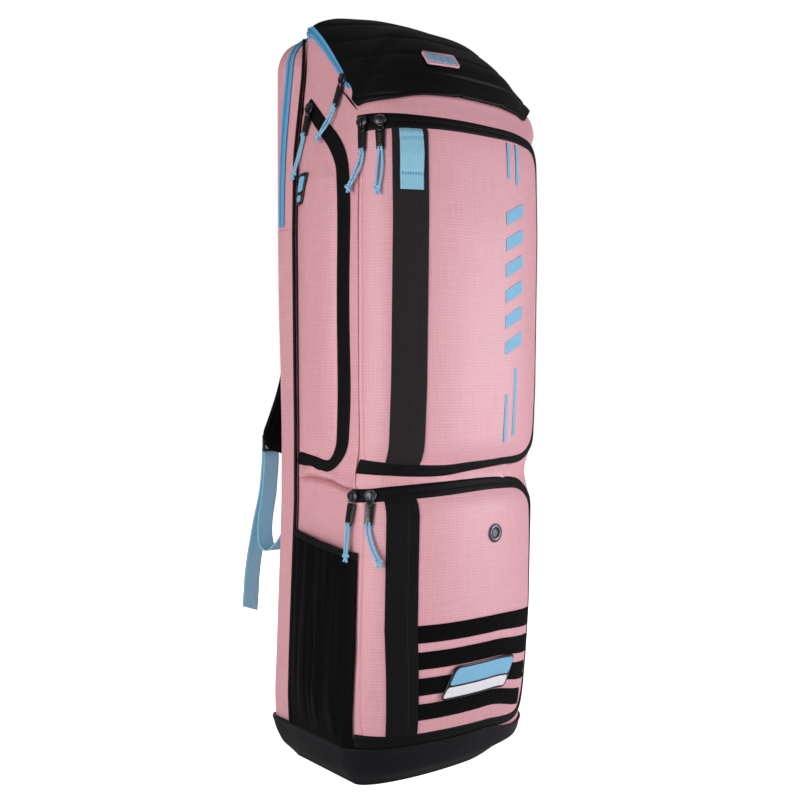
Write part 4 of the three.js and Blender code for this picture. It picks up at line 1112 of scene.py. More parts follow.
def make_print():
    """Plain stripes and slanted bars printed on the upper pocket."""
    lift = 2.05
    look = ("blue_print", None, "blue_webbing")
    for number, stripe in enumerate(PRINT_STRIPES, 1):
        sheet(f"print_stripe_{number}", (2, 40), trim_place(stripe, lambda u, v: lift), *look)
    bars = PRINT_BARS
    pitch = (bars["top"] - bars["bottom"]) / bars["count"]
    for number in range(bars["count"]):
        def place(u, v, low=bars["bottom"] + number * pitch):
            s = mix(bars["left"], bars["right"], u)
            z = low + v * pitch * bars["fill"] + bars["slant"] * u
            return BODY.point(s, z, lift), columns(s, z)

        sheet(f"print_bar_{number + 1}", (10, 8), place, *look)


def make_front_zips():
    """The covered black zips round both front pockets."""
    for name, route, steps in (("upper_zip", UPPER_ZIP, 420), ("lower_zip", LOWER_ZIP, 360)):
        place = tape_place(route, covered_zip)
        sheet(f"{name}_tape", (steps, 20), place, "black_zip_tape", ZIP_WALL, "black_zip", name)


def side_arc(y, z):
    """Distance round the bag to a depth on the left side."""
    return -BODY.arc(y, z)


def panel_edge(z):
    """The depth of the side zip's middle at a height, where the pocket's panel is sewn under it."""
    above = [row for row in SIDE_ZIP if row.y < SIDE_FOOT["y"] or row.z > SIDE_FOOT["z"]]
    return look_up(sorted(above, key=lambda row: row.z), "z", z, "y")


def side_pocket_edge(z):
    """The front edge of the side pocket at a height, and how far up its slant it is."""
    slant = np.clip((z - SIDE_SLANT["z"]) / (SIDE_POCKET["top"] - SIDE_SLANT["z"]), 0, 1)
    low = np.clip((SIDE_ROUND["z"] - z) / (SIDE_ROUND["z"] - SIDE_POCKET["bottom"]), 0, 1)
    edge = mix(SIDE_POCKET["front"], SIDE_SLANT["front"], slant)
    return mix(edge, SIDE_ROUND["front"], low**2), slant


def side_swell(y, z):
    """How far the side pocket stands out."""
    edge, slant = side_pocket_edge(z)
    up = np.clip((z - SIDE_POCKET["bottom"]) / (SIDE_POCKET["top"] - SIDE_POCKET["bottom"]), 0, 1)
    forward = np.clip((y - SIDE_POCKET["back"]) / (edge - SIDE_POCKET["back"]), 0, 1)
    return SIDE_POCKET["rise"] * hump(up, 6) * hump(forward, 3) * (1 - slant)


def make_side_pocket():
    """The long pocket on the left side, with its zip."""
    def place(u, v):
        z = mix(SIDE_PANEL["bottom"], SIDE_PANEL["top"], v)
        edge = panel_edge(z)
        y = mix(SIDE_POCKET["back"], edge, u)
        slope = (panel_edge(z + 3) - panel_edge(z - 3)) / 6
        inside = smoothstep((y - edge) / np.hypot(1, slope), SIDE_PANEL["hidden"], SIDE_PANEL["shown"])
        inside = inside * smoothstep(z, SIDE_PANEL["bottom"] + 4, SIDE_PANEL["bottom"] + 14)
        soft = 1.1 * ripple(y, z, 22, 160, 21) + 0.5 * ripple(y, z, 12, 50, 22)
        lift = 0.2 + inside * (1.6 + side_swell(y, z) + soft * hump(u, 4) * hump(v, 8))
        s = side_arc(y, z)
        return BODY.point(s, z, lift), columns(s, z)

    sheet("side_pocket_cloth", (80, 220), place, PINK, sizes().cloth_wall, "pink_cloth", "side_pocket")
    route = [Tape(float(side_arc(row.y, row.z)), row.z, row.width) for row in SIDE_ZIP]
    laid = tape_place(route, flat_zip)
    sheet("side_zip_tape", (240, 20), laid, "black_zip_tape", ZIP_WALL, "black_zip", "side_zip")


def tag_place(width, high, up, lift):
    """A small sheet on the side tag, with round corners."""
    corner = 3.5

    def place(u, v):
        rise = (v - 0.5) * high
        across = (2 * u - 1) * (width / 2 - corner_cut(high / 2 - np.abs(rise), corner))
        z = TAG["z"] + up + rise
        y = TAG["y"] - across - TAG["lean"] * 2 * (up + rise) / TAG["high"]
        return BODY.point(side_arc(y, z), z, lift + side_swell(y, z)), columns(across, rise)

    return place


def make_tag():
    """The tag on the side pocket: a black tab with plain blue blocks."""
    wide, high = TAG["width"], TAG["high"]
    tab = tag_place(wide, high, 0, 5.2)
    sheet("side_tag_tab", (16, 40), tab, "moulded_acetal", 1.8 * MM, "black_plastic", "side_tag")
    for number, (narrower, share, up) in enumerate(((6, 0.48, 6), (8, 0.2, -12)), 1):
        block = tag_place(wide - narrower, high * share, up, 5.8)
        sheet(f"side_tag_block_{number}", (16, 40), block, "blue_print", 0.6 * MM, "blue_webbing")


def mesh_place(low, high, lift, folds):
    """The low side pocket between two shares of its height."""
    def place(u, v):
        share = mix(low, high, v)
        z = mix(MESH["bottom"], mix(MESH["top_back"], MESH["top_front"], 1 - u), share)
        front = mix(MESH["front_low"], MESH["front_high"], np.minimum(1, 2 * share))
        y = mix(front, MESH["back"], u)
        edge = np.sin(np.pi * u) ** 0.7
        fill = np.minimum(1, share * 4) * (1 - MESH_SLACK * share)
        drape = 1.8 * np.cos(8 * np.pi * u + 0.8 * np.sin(3 * share)) + 3.4 * ripple(60 * u, z, 3.4, 150, 31)
        s = side_arc(y, z)
        rise = (MESH_RISE * edge + folds * drape * edge) * fill
        return BODY.point(s, z, lift + rise), columns(s, z)

    return place


def make_mesh_pocket():
    """The stretch pocket low on the left side, with a bound top edge."""
    top = 1 - BINDING_HIGH / (MESH["top_back"] - MESH["bottom"])
    sheet(
        "mesh_pocket_cloth", (110, 130), mesh_place(0, top, 2.4, 1.0), "knitted_stretch_mesh", 1.4 * MM,
        "mesh_cloth", "mesh_pocket")
    sheet(
        "mesh_binding_tape", (110, 12), mesh_place(top, 1, 2.9, 0.5), "dark_twill_webbing", 2.2 * MM,
        "black_webbing", "mesh_binding")


def make_boot():
    """The coated foot: a flat underside, a round lower edge and a folded hem."""
    wall = 3.0
    under = 0.2
    hem = 0.94
    middle = np.array([0, -10, 0])

    def place(u, v):
        z = np.interp(v, [0, under, hem, 1], [0, 0, BOOT_RIM, BOOT_RIM - 1])
        s = (2 * u - 1) * FOOT.total(z)
        lift = wall + 0.9 * bump(v, 0.9, 0.05) - 3.0 * smoothstep(v, hem, 1)
        lift = lift + 0.7 * ripple(s, z, 60, 30, 41) * smoothstep(v, 0.3, 0.6)
        spread = np.clip(v / under, 0, 1)
        points = middle + (FOOT.point(s, z, lift) - middle) * columns(spread, spread, 1.0)
        return points, columns(s, z + 100 * spread)

    sheet(
        "boot_cloth", (260, 60), place, "coated_tarpaulin", 2.0 * MM, "boot_cloth", "base_boot",
        closed=True)


def quilt_at(z):
    """How far the lid's face is drawn in by its sewn channels, which run level round its dome."""
    phase = (z - QUILT["first"]) / QUILT["pitch"]
    off = (phase + 0.5) % 1 - 0.5
    groove = bump(off * QUILT["pitch"], 0, QUILT["half"])
    return QUILT["puff"] * (1 - np.abs(np.sin(np.pi * phase)) ** 0.7) + sizes().quilt / MM * groove


def lid_dome(x, y, crown, across):
    """The height of the lid's arched face above its lower edge, at shares of its width."""
    rim = lid_rim(x, y)
    return rim + np.maximum(crown - rim, 0) * (1 - np.abs(across) ** LID_ARCH)


def lid_half(y):
    """Half the width of the lid at a depth."""
    low = rim_at(y)
    return BODY.point(BODY.arc(y, low), low)[:, 0]


def make_lid():
    """The padded lid: a domed face with sewn channels across it."""
    rows = np.array([tuple(row) for row in LID_PROFILE], float)

    def place(u, v):
        across = np.sin((u - 0.5) * math.pi)
        at = smooth_route(rows, 1 - v)
        y, crown = at[:, 0], at[:, 2]
        x = across * lid_half(y) * (1 - LID_BACK_ROUND * smoothstep(y, 48, 66))
        soft = 0.9 * ripple(120 * across, 900 * v, 30, 90, 51) * hump(u, 4) * hump(v, 6)
        sides = np.abs(across) ** 14
        front = (1 - v) ** 14
        z = lid_dome(x, y, crown, across) + LID_THICK * (1 - np.maximum(sides, front)) + soft
        hem = LID_HEM * np.sign(across) * sides * smoothstep(-y, 15, 45)
        draw = quilt_at(z) * hump(u, 12) * hump(v, 12)
        facing = 0.85 * smoothstep(-y, 30, 115)
        aside = 0.8 * np.sign(across) * np.abs(across) ** 6
        points = columns(
            x + hem - draw * aside, y - LID_HEM * front + draw * facing, z - draw * (1 - 0.5 * facing))
        return points, columns(x, -route_length(rows[:, [0, 2]], 1 - v))

    piece = sheet("lid_cloth", (130, 240), place, "coated_nylon", sizes().lid_wall, "black_cloth", "lid")


def make_lid_zip():
    """The blue zip under the lid: along the left side, round the back and along the right side."""
    first_guess = 900.0

    def place(u, v):
        way = 2 * u - 1
        start = BODY.arc(LID_ZIP_FRONT + LID_ZIP_CUT * v, LID_ZIP_LEVEL["front"])
        reach = mix(start, BODY.total(LID_ZIP_LEVEL["back"]), 1 - np.abs(way))
        top = np.full_like(u, first_guess)
        for _ in range(6):
            y = BODY.point(reach, top)[:, 1]
            top = rim_at(y)
        high = np.interp(y, [LID_ZIP_FRONT, BODY_BACK], [LID_ZIP_HIGH["front"], LID_ZIP_HIGH["back"]])
        s = np.where(way < 0, -reach, reach)
        over = LID_ZIP_OVER * smoothstep(y, -25, 20) * (1 - smoothstep(y, 40, 60))
        points = BODY.point(s, top + over - v * (high + over), coil_zip(v) + 0.4 * over)
        return points, columns(reach, (v - 0.5) * high * 0.72)

    sheet("lid_zip_tape", (300, 20), place, "blue_zip_tape", ZIP_WALL, "blue_zip", "lid_zip")
    # Past the lid's corner this black tape is painted shade along a crease of the band
    seam = tape_place(CORNER_SEAM_AND_CREASE_SHADE, flat_zip)
    sheet("lid_corner_seam", (40, 20), seam, "black_zip_tape", ZIP_WALL, "black_cloth")


def way_down(half, corner, top, low):
    """How far it is from the middle of the stick compartment's top round a corner down to a height."""
    return half - corner + corner * math.pi / 2 + top - corner - low


def over_top(way, half, corner, top):
    """X, Z and the turn of the edge along that way."""
    along_top = half - corner
    turn = np.clip((way - along_top) / corner, 0, math.pi / 2)
    x = np.minimum(way, along_top) + corner * np.sin(turn)
    z = top - corner * (1 - np.cos(turn)) - np.maximum(way - along_top - corner * math.pi / 2, 0)
    return x, z, turn


def stick_outline(share, inset):
    """The stick compartment's outline in X and Z, from low on the right over the top to low on the left."""
    half, corner, top = (STICK[name] - inset for name in ("half", "corner", "top"))
    way = np.abs(2 * share - 1) * way_down(half, corner, top, BODY_BOTTOM + 2)
    x, z, _ = over_top(way, half, corner, top)
    return np.where(share < 0.5, x, -x), z


def stick_share(z, spread):
    """How much of its full width the stick compartment has at a height, as its wall spreads."""
    at_body = back_half(z)
    full = mix(STICK["half_low"], STICK["half"], smoothstep(z, STICK["widens_from"], STICK["widens_to"]))
    at_back = mix(at_body, full, smoothstep(z, STICK_FOOT - 40, STICK_FOOT))
    return mix(at_body, at_back, spread) / STICK["half"]


def spread_at(y):
    """How far the stick compartment's wall has spread at a depth."""
    return look_up(STICK_SHELL, "y", y, "spread")


def make_stick_compartment():
    """The compartment behind the body: a pink wall round it and a plain back."""
    wall = 0.45
    spine_top = 840

    def place(u, v):
        side = np.clip(v / wall, 0, 1)
        marks = np.linspace(0, 1, len(STICK_SHELL))
        y, inset, spread = (np.interp(side, marks, column(STICK_SHELL, name)) for name in StickRow._fields)
        x, z = stick_outline(u, inset)
        inward = np.clip((v - wall) / (1 - wall), 0, 1)
        edge = columns(x * stick_share(z, spread), y, z)
        points = mix(edge, columns(0.0, y, np.minimum(z, spine_top)), inward[:, None])
        x, z = points[:, 0], points[:, 2]
        belly = 1.5 * ripple(x, z, 80, 160, 61) * smoothstep(inward, 0, 0.15)
        sides = 0.7 * ripple(y * 3, z, 60, 120, 62) * hump(side, 4)
        around = np.where(inward > 0, x, np.sign(x) * (np.abs(x) + BAG_BACK - y))
        return points + columns(np.sign(x) * sides, belly, 0.0), columns(around, z)

    sheet(
        "stick_compartment_cloth", (320, 110), place, PINK, sizes().cloth_wall, "pink_cloth",
        "stick_compartment", closed=True)


def make_stick_zip():
    """The blue zip up one side of the stick compartment, over its top and down the other."""
    def place(u, v):
        half, corner, top = STICK["half"], STICK["corner"], STICK["top"]
        along = np.abs(2 * u - 1) * way_down(half, corner, top, STICK_ZIP["low_end"])
        x, z, turn = over_top(along, half, corner, top)
        lift = STICK_ZIP["seat"] + coil_zip(v)
        across = (v - 0.5) * look_up(STICK_ZIP_DEPTH, "z", z, "width")
        y = look_up(STICK_ZIP_DEPTH, "z", z, "y") + across
        x = x * stick_share(z, spread_at(y)) + lift * np.sin(turn)
        points = columns(np.where(u < 0.5, x, -x), y, z + lift * np.cos(turn))
        return points, columns(along, across)

    sheet("stick_zip_tape", (360, 16), place, "blue_zip_tape", ZIP_WALL, "blue_zip", "stick_zip")
    y = mix(BODY_BACK + 4, BAG_BACK - 4, stitch_marks(BAG_BACK - BODY_BACK - 8))
    z = np.full_like(y, STICK_ZIP["low_end"] - 5)
    x = STICK["half"] * stick_share(z, spread_at(y)) + 0.3
    for label, side in SIDES:
        stitches(f"stick_seam_{label}", columns(side * x, y, z), "blue_thread", "pink_cloth")


def make_piping():
    """Black piping down the seams between the body and the stick compartment."""
    z = np.linspace(PIPING["bottom"], PIPING["top"], 120)
    x = back_half(z) + PIPING["lift"]
    for label, side in SIDES:
        points = settle(columns(side * x, float(BODY_BACK), z)) * MM
        radius = PIPING["radius"] * MM
        tube(f"piping_cord_{label}", points, radius, "coated_nylon", "black_cloth", f"piping_{label}")


def make_webbing():
    """Black webbing down both front pockets, with a stitched line."""
    # The upper band is painted lighter than the lower one for a sheen; both are the same black webbing
    bands = (
        ("webbing_upper", WEBBING_UPPER, "nylon_twill_webbing"),
        ("webbing_lower", WEBBING_LOWER, "dark_twill_webbing"))
    for name, trim, weave in bands:
        def lift(u, v, trim=trim):
            z = mix(trim.bottom, trim.top, v)
            shown = smoothstep(z, trim.bottom + 4, trim.bottom + 10)
            shown = shown * smoothstep(-z, 2 - trim.top, 9 - trim.top)
            wave = 0.35 * ripple(120 * u, 400 * v, 60, 70, 71)
            return 0.8 + shown * (2.1 + wave - 0.5 * bump(u, WEBBING_SEAM, 0.03))

        place = trim_place(trim, lift)
        sheet(f"{name}_band", (24, 140), place, weave, sizes().tape_wall, "black_webbing", name)
        seam = mix(trim.left, trim.right, WEBBING_SEAM)
        z = mix(trim.bottom + 11, trim.top - 10, stitch_marks(trim.top - trim.bottom))
        stitches(f"{name}_seam", BODY.point(seam + drift_at(z), z, 2.7), "grey_thread", "black_webbing")


def loop_lift(u, v):
    """The front loop from its sewn tail up over the finger gap to its top seam."""
    marks = [0, 0.18, 0.23, 0.26, 0.32, 0.56, 0.78, 0.84, 0.88, 0.93, 1]
    heights = [4.6, 4.8, 4.9, 4.0, 5.6, 7.6, 6.2, 4.6, 5.0, 4.6, 0.9]
    return np.interp(v, marks, heights) + 0.15 * ripple(100 * u, 300 * v, 30, 20, 72)


def make_front_loop():
    """A blue loop sewn on the upper webbing."""
    place = trim_place(FRONT_LOOP, loop_lift)
    sheet("front_loop_band", (20, 70), place, "ribbed_blue_webbing", 1.6 * MM, "blue_webbing", "front_loop")
    s = mix(FRONT_LOOP.left + 2, FRONT_LOOP.right - 2, stitch_marks(FRONT_LOOP.right - FRONT_LOOP.left))
    for number, (share, lift) in enumerate(((0.84, 4.8), (0.275, 4.5), (0.26, 4.3), (0.245, 4.7)), 1):
        places = BODY.point(s, mix(FRONT_LOOP.bottom, FRONT_LOOP.top, share), lift)
        stitches(f"front_loop_seam_{number}", places, "blue_thread", "blue_webbing")


def add_box(shape, middle, spans):
    """Add a box."""
    bmesh.ops.create_cube(shape, size=1.0, matrix=Matrix.Translation(middle) @ Matrix.Diagonal((*spans, 1)))


def add_dome(shape, middle, spans, segments):
    """Add a round lump."""
    bmesh.ops.create_uvsphere(
        shape, u_segments=segments, v_segments=segments // 2, radius=1.0,
        matrix=Matrix.Translation(middle) @ Matrix.Diagonal((*spans, 1)))


def add_swept(shape, segments, radius, place, middle, axis, angle, steps):
    """Add a circle swept about an axis; a whole turn closes on itself."""
    circle = bmesh.ops.create_circle(shape, segments=segments, radius=radius, cap_ends=False, matrix=place)
    profile = circle["verts"] + list({edge for vert in circle["verts"] for edge in vert.link_edges})
    bmesh.ops.spin(
        shape, geom=profile, cent=middle, axis=axis, dvec=(0, 0, 0), angle=angle, steps=steps,
        use_merge=angle == 2 * math.pi, use_duplicate=False)


def bevel(shape, edges, offset, segments):
    """Round edges off."""
    bmesh.ops.bevel(
        shape, geom=edges, offset=offset, offset_type="OFFSET", segments=segments, profile=0.5,
        affect="EDGES", material=-1)


def make_eyelet():
    """A dark metal eyelet in the low pocket: a rolled ring and a lined hole."""
    shape = bmesh.new()
    hole, outer, thick = EYELET["hole"], EYELET["outer"], EYELET["thick"]
    middle = (hole + outer) / 2
    place = Matrix.Translation((middle, 0, thick / 2)) @ Matrix.Rotation(math.pi / 2, 4, "X")
    place = place @ Matrix.Diagonal(((outer - hole) / 2, thick / 2, 1, 1))
    add_swept(shape, 12, 1.0, place, (0, 0, 0), (0, 0, 1), 2 * math.pi, 48)
    bmesh.ops.create_circle(
        shape, segments=48, radius=middle, cap_ends=True, matrix=Matrix.Translation((0, 0, 0.4)))
    bmesh.ops.recalc_face_normals(shape, faces=shape.faces)
    bmesh.ops.transform(shape, matrix=seat(EYELET["s"], EYELET["z"], 1.6, 0), verts=shape.verts)
    solid_piece("eyelet_ring", shape, "lacquered_zinc", "black_metal", "eyelet")


def make_hook_strips():
    """Four strips of loop tape across the low pocket."""
    for number, strip in enumerate(HOOK_STRIPS, 1):
        def place(u, v, strip=strip, seed=80 + number):
            z = mix(strip.bottom, strip.top, v) - HOOK_DROP * np.maximum(u - HOOK_DROP_FROM, 0) ** 2
            s = mix(strip.left + drift_at(z), strip.right, u)
            lift = 2.6 + 0.5 * hump(v, 6) + 0.3 * ripple(s, z, 4, 4, seed)
            return BODY.point(s, z, lift), columns(s, z)

        name = f"hook_strip_{number}"
        sheet(f"{name}_pile", (120, 16), place, "brushed_loop_tape", sizes().tape_wall, "hook_tape", name)


def patch_place(inset, low, high, lift, corner):
    """A slanted sheet of the patch between two shares of its height, with round corners."""
    width = PATCH["right"] - PATCH["left"] - 2 * inset
    tall = PATCH["top"] - PATCH["bottom"] - 2 * inset
    centre = (PATCH["left"] + PATCH["right"]) / 2

    def place(u, v):
        share = mix(low, high, v)
        rise = share * tall
        half = width / 2 - corner_cut(np.minimum(rise - low * tall, high * tall - rise), corner)
        s = centre + (2 * u - 1) * half + PATCH["lean"] * (2 * share - 1)
        z = PATCH["bottom"] + inset + rise
        return BODY.point(s, z, lift + 0.5 * hump(u, 8) * hump(v, 8)), columns(s, z)

    return place


def make_patch():
    """A soft rubber patch on the loop tape: a black rim, a blue field and a white bar."""
    grid = (60, 32)
    lift = PATCH["lift"] + PATCH["thick"]
    rim = patch_place(0, 0, 1, lift, 7)
    field = patch_place(3, 0.42, 1, lift + 0.7, 5)
    bar = patch_place(3, 0, 0.36, lift + 0.7, 3)
    sheet("patch_rim", grid, rim, "moulded_acetal", 1.8 * MM, "patch_rubber", "patch")
    sheet("patch_field", grid, field, "blue_print", 0.7 * MM, "patch_rubber")
    sheet("patch_bar", grid, bar, "white_rubber", 0.7 * MM, "patch_rubber")


def lid_height(x, y):
    """The height of the lid's face over a place in plan."""
    rows = np.array([tuple(row) for row in LID_PROFILE], float)
    at = smooth_route(rows, np.linspace(0, 1, 600))
    crown = np.interp(-y, -at[:, 0], at[:, 2])
    return lid_dome(x, y, crown, x / lid_half(y)) + LID_THICK


def badge_place(inset, left, right, lift):
    """A flat sheet of the badge between two shares of its width, lying on the lid."""
    width = BADGE["width"] - 2 * inset
    deep = BADGE["deep"] - 2 * inset
    corner = 2.2
    step = 8
    spots_x = BADGE["x"] + np.array([0, step, -step, 0, 0])
    spots_y = BADGE["y"] + np.array([0, 0, 0, step, -step])
    height, right_end, left_end, back_end, front_end = lid_height(spots_x, spots_y)
    slope_x = (right_end - left_end) / (2 * step)
    slope_y = (back_end - front_end) / (2 * step)

    def place(u, v):
        share = mix(left, right, u) - 0.5
        pull = corner_cut(np.minimum(v, 1 - v) * deep, corner)
        across = BADGE["x"] + share * (width - 2 * pull)
        along = BADGE["y"] + (v - 0.5) * deep + share * BADGE["slant"]
        z = height + (across - BADGE["x"]) * slope_x + (along - BADGE["y"]) * slope_y
        return columns(across, along - 0.8 * lift, z + 0.6 * lift), columns(across, along)

    return place


def make_badge():
    """A rubber badge on the lid: a pink plate with plain blue bars."""
    plate = badge_place(0, 0, 1, 2.2)
    sheet("lid_badge_plate", (24, 12), plate, "pink_rubber", 1.8 * MM, "badge_rubber", "lid_badge")
    bars = 4
    for number in range(bars):
        bar = badge_place(2.8, (number + 0.14) / bars, (number + 0.86) / bars, 2.9)
        sheet(f"lid_badge_bar_{number + 1}", (24, 12), bar, "blue_print", 0.6 * MM, "badge_rubber")


# Zip pulls

def seat(s, z, lift, turn):
    """Axes at a place on the skin: right, up and outwards as seen from outside."""
    hang = 80
    spots = ((s, z), (s + 1, z), (s - 1, z), (s, z - hang))
    origin, right_end, left_end, below = (Vector(BODY.point(*spot, lift)) for spot in spots)
    right = (right_end - left_end).normalized()
    down = (below - origin).normalized()
    out = down.cross(right).normalized()
    axes = Matrix((right, out.cross(right), out)).transposed().to_4x4()
    return Matrix.Translation(origin) @ axes @ Matrix.Rotation(math.radians(turn), 4, "Z")


def add_ring(shape, place, half, reach, wire):
    """Add an oval ring of wire."""
    before = set(shape.verts)
    upright = Matrix.Translation((half, 0, 0)) @ Matrix.Rotation(math.pi / 2, 4, "X")
    add_swept(shape, 10, wire, upright, (0, 0, 0), (0, 0, 1), 2 * math.pi, 32)
    made = [vert for vert in shape.verts if vert not in before]
    bmesh.ops.transform(shape, matrix=place @ Matrix.Diagonal((1, reach / half, 1, 1)), verts=made)


def slider_shape():
    """A zip slider: a bevelled plate, a domed oval crown with a rolled rim, and the bridge over it."""
    shape = bmesh.new()
    wide, high = SLIDER["width"], SLIDER["high"]
    root = 2.2
    flat_from = SLIDER["thick"] + 1.2
    add_box(shape, (0, 0, 0.9), (wide, high, 1.8))
    bevel(shape, shape.edges[:], 0.8, 2)
    add_dome(shape, (0, 0.6, 1.8), (wide * 0.88, high * 0.47, 2.4), 24)
    add_ring(shape, Matrix.Translation((0, 0.6, 2.8)), wide * 0.76, high * 0.39, 1.2)
    foot = Matrix.Translation((0, high * 0.36, root)) @ Matrix.Diagonal((1.5, 0.9, 1, 1))
    add_swept(shape, 10, 1.0, foot, (0, 0, root), (1, 0, 0), math.pi, 16)
    for vert in shape.verts:
        if vert.co.z > flat_from:
            vert.co.z = flat_from + (vert.co.z - flat_from) * 0.15
    bmesh.ops.recalc_face_normals(shape, faces=shape.faces)
    return shape


def tab_shape(top):
    """A rubber tab: a tapered rounded bar with grip ribs, on a wire ring that joins it to the slider."""
    shape = bmesh.new()
    wide, high, thick = TAB["width"], TAB["high"], TAB["thick"]
    add_box(shape, (0, top - high / 2, TAB["out"] + thick / 2), (wide, high, thick))
    uprights = [edge for edge in shape.edges if abs((edge.verts[0].co - edge.verts[1].co).z) > thick / 2]
    bevel(shape, uprights, TAB["corner"], 6)
    rims = [edge for edge in shape.edges if abs((edge.verts[0].co - edge.verts[1].co).z) < 0.01]
    bevel(shape, rims, 0.7, 2)
    ribs = 4
    for number in range(ribs):
        up = top - high * (0.3 + 0.1 * number)
        add_dome(shape, (0, up, TAB["out"] + thick), (wide * 0.36, 0.8, 0.45), 12)
    for vert in shape.verts:
        vert.co.x *= mix(1.0, 0.84, smoothstep(top - vert.co.y, 4.0, high))
    hung = Matrix.Translation((0, top + RING["reach"] - 4.0, RING["out"]))
    add_ring(shape, hung, RING["half"], RING["reach"], RING["wire"])
    bmesh.ops.recalc_face_normals(shape, faces=shape.faces)
    return shape


def knot_run(size):
    """A knot drawn tight: a three-lobed loop of cord."""
    turn = np.linspace(0, 2 * math.pi, 49)[:-1]
    x = np.sin(turn) + 2 * np.sin(2 * turn)
    y = np.cos(turn) - 2 * np.cos(2 * turn)
    return columns(x, y, -1.1 * np.sin(3 * turn)) * size / 3


def carried(points, hang):
    """Points of a pull in metres, on the settled bag."""
    return settle(np.array([hang @ Vector(point) for point in points])) * MM


def make_cord(pull, hang, start, out):
    """A loop of cord from the eye of a tab: a knot with two tails, and two strands."""
    radius = sizes().cord / 2
    look = ("braided_polyester_cord", "blue_cord", f"cord_{pull.name}")
    end = np.array([pull.drift, start - pull.drop, out])
    more = []
    for side in (-1, 1):
        tail = np.linspace(0, 1, 6)[:, None] * np.array([2.6 * side + 1.2, -7.0, 0.6]) + end
        more.append(carried(tail, hang))
    for side in (-1, 1):
        up = start + np.array([-0.4, 0.6, 2.4, 3.6])
        eye = columns(CORD["spread"] * side, up, out + np.array([0, 2.2, 2.4, 0.6]))
        more.append(carried(smooth_route(eye, np.linspace(0, 1, 16)), hang))
    points = carried(knot_run(CORD["knot"]) + end, hang)
    knot = tube(f"cord_knot_{pull.name}", points, radius, *look, cyclic=True, more=more)
    share = np.linspace(0, 1, 20)
    for label, side in (("a", -1), ("b", 1)):
        sway = pull.drift * share ** CORD["swing"]
        apart = CORD["spread"] * side * (1 + pull.bow * np.sin(np.pi * share))
        points = carried(columns(sway + apart, start - pull.drop * share, out), hang)
        strand = tube(f"cord_strand_{pull.name}_{label}", points, radius, *look)


def make_pulls():
    """The zip pulls: slider, tab and a knotted loop of cord."""
    top = -SLIDER["high"] / 2 - TAB["below"]
    for pull in PULLS:
        s = pull.s if pull.s is not None else float(side_arc(pull.y, pull.z))
        slider = slider_shape()
        bmesh.ops.transform(slider, matrix=seat(s, pull.z, pull.seat, pull.turn), verts=slider.verts)
        solid_piece(
            f"slider_body_{pull.name}", slider, "lacquered_zinc", "black_metal", f"slider_{pull.name}")
        hang = seat(s, pull.z, pull.seat, pull.lean) @ Matrix.Rotation(math.radians(-pull.tilt), 4, "X")
        tab = tab_shape(top)
        bmesh.ops.transform(tab, matrix=hang, verts=tab.verts)
        solid_piece(f"tab_bar_{pull.name}", tab, "moulded_acetal", "black_plastic", f"tab_{pull.name}")
        make_cord(pull, hang, top - TAB["high"] - 0.3, TAB["out"] + TAB["thick"] / 2)


# Shoulder straps

def strap_axes(route, side, share):
    """Along a strap: its middle, its level width, its thickness and the length of the way."""
    mirrored = [(side * x, y, z) for x, y, z in route]
    along = route_heading(mirrored, share)
    level = np.array([1.0, 0, 0])
    across = level - along * (along @ level)[:, None]
    across = across / np.linalg.norm(across, axis=1)[:, None]
    return smooth_route(mirrored, share), across, np.cross(along, across), route_length(mirrored, share)


def make_pad(label, side):
    """A shoulder pad: a soft crowned strip with sewn edges and two sewn channels."""
    def place(u, v):
        at, across, thick, way = strap_axes(PAD_ROUTE, side, 1 - v)
        angle = 2 * math.pi * u
        cos, sin = np.cos(angle), np.sin(angle)
        end = np.minimum(smoothstep(v, -0.001, 0.05), smoothstep(1 - v, -0.001, 0.03)) ** 0.5
        from_end = np.clip((route_length(PAD_ROUTE, 1.0) - way) / PAD_ROUND, 0, 1)
        taper = mix(0.3, 1, np.sqrt(1 - (1 - from_end) ** 2))
        wide = PAD_HALF * taper * np.sign(cos) * np.abs(cos) ** 0.5
        sewn = 0.35 * bump(np.abs(wide / PAD_HALF), 0.82, 0.06)
        deep = PAD_THICK / 2 * np.sign(sin) * np.abs(sin) ** 0.6 * (1 - sewn) * mix(0.25, 1, end)
        wide = wide * mix(0.9, 1, end)
        points = at + across * wide[:, None] + thick * deep[:, None]
        return points, columns(wide + 80 * (sin > 0), way)

    name = f"strap_pad_{label}"
    look = ("knitted_stretch_mesh", None, "black_cloth", name)
    sheet(f"{name}_cushion", (64, 160), place, *look, closed=True)


def make_strip(node, route, side, steps):
    """A length of blue webbing on a strap; its free tail has a turned hem and a slanted end."""
    loose = route is TAIL_ROUTE

    def place(u, v):
        at, across, thick, way = strap_axes(route, side, v)
        width = (u - 0.5) * STRAP_WIDTH
        lift = 0.9 + 0.9 * loose * (smoothstep(v, 0.91, 0.92) - 0.6 * bump(v, 0.955, 0.006))
        points = at + across * width[:, None] + thick * lift[:, None]
        points[:, 2] -= loose * side * TAIL_SLANT * (u - 0.5) * smoothstep(v, 0.8, 1)
        return points, columns(width, way)

    sheet(f"{node}_band", (12, steps), place, "ribbed_blue_webbing", 1.8 * MM, "blue_webbing", node)


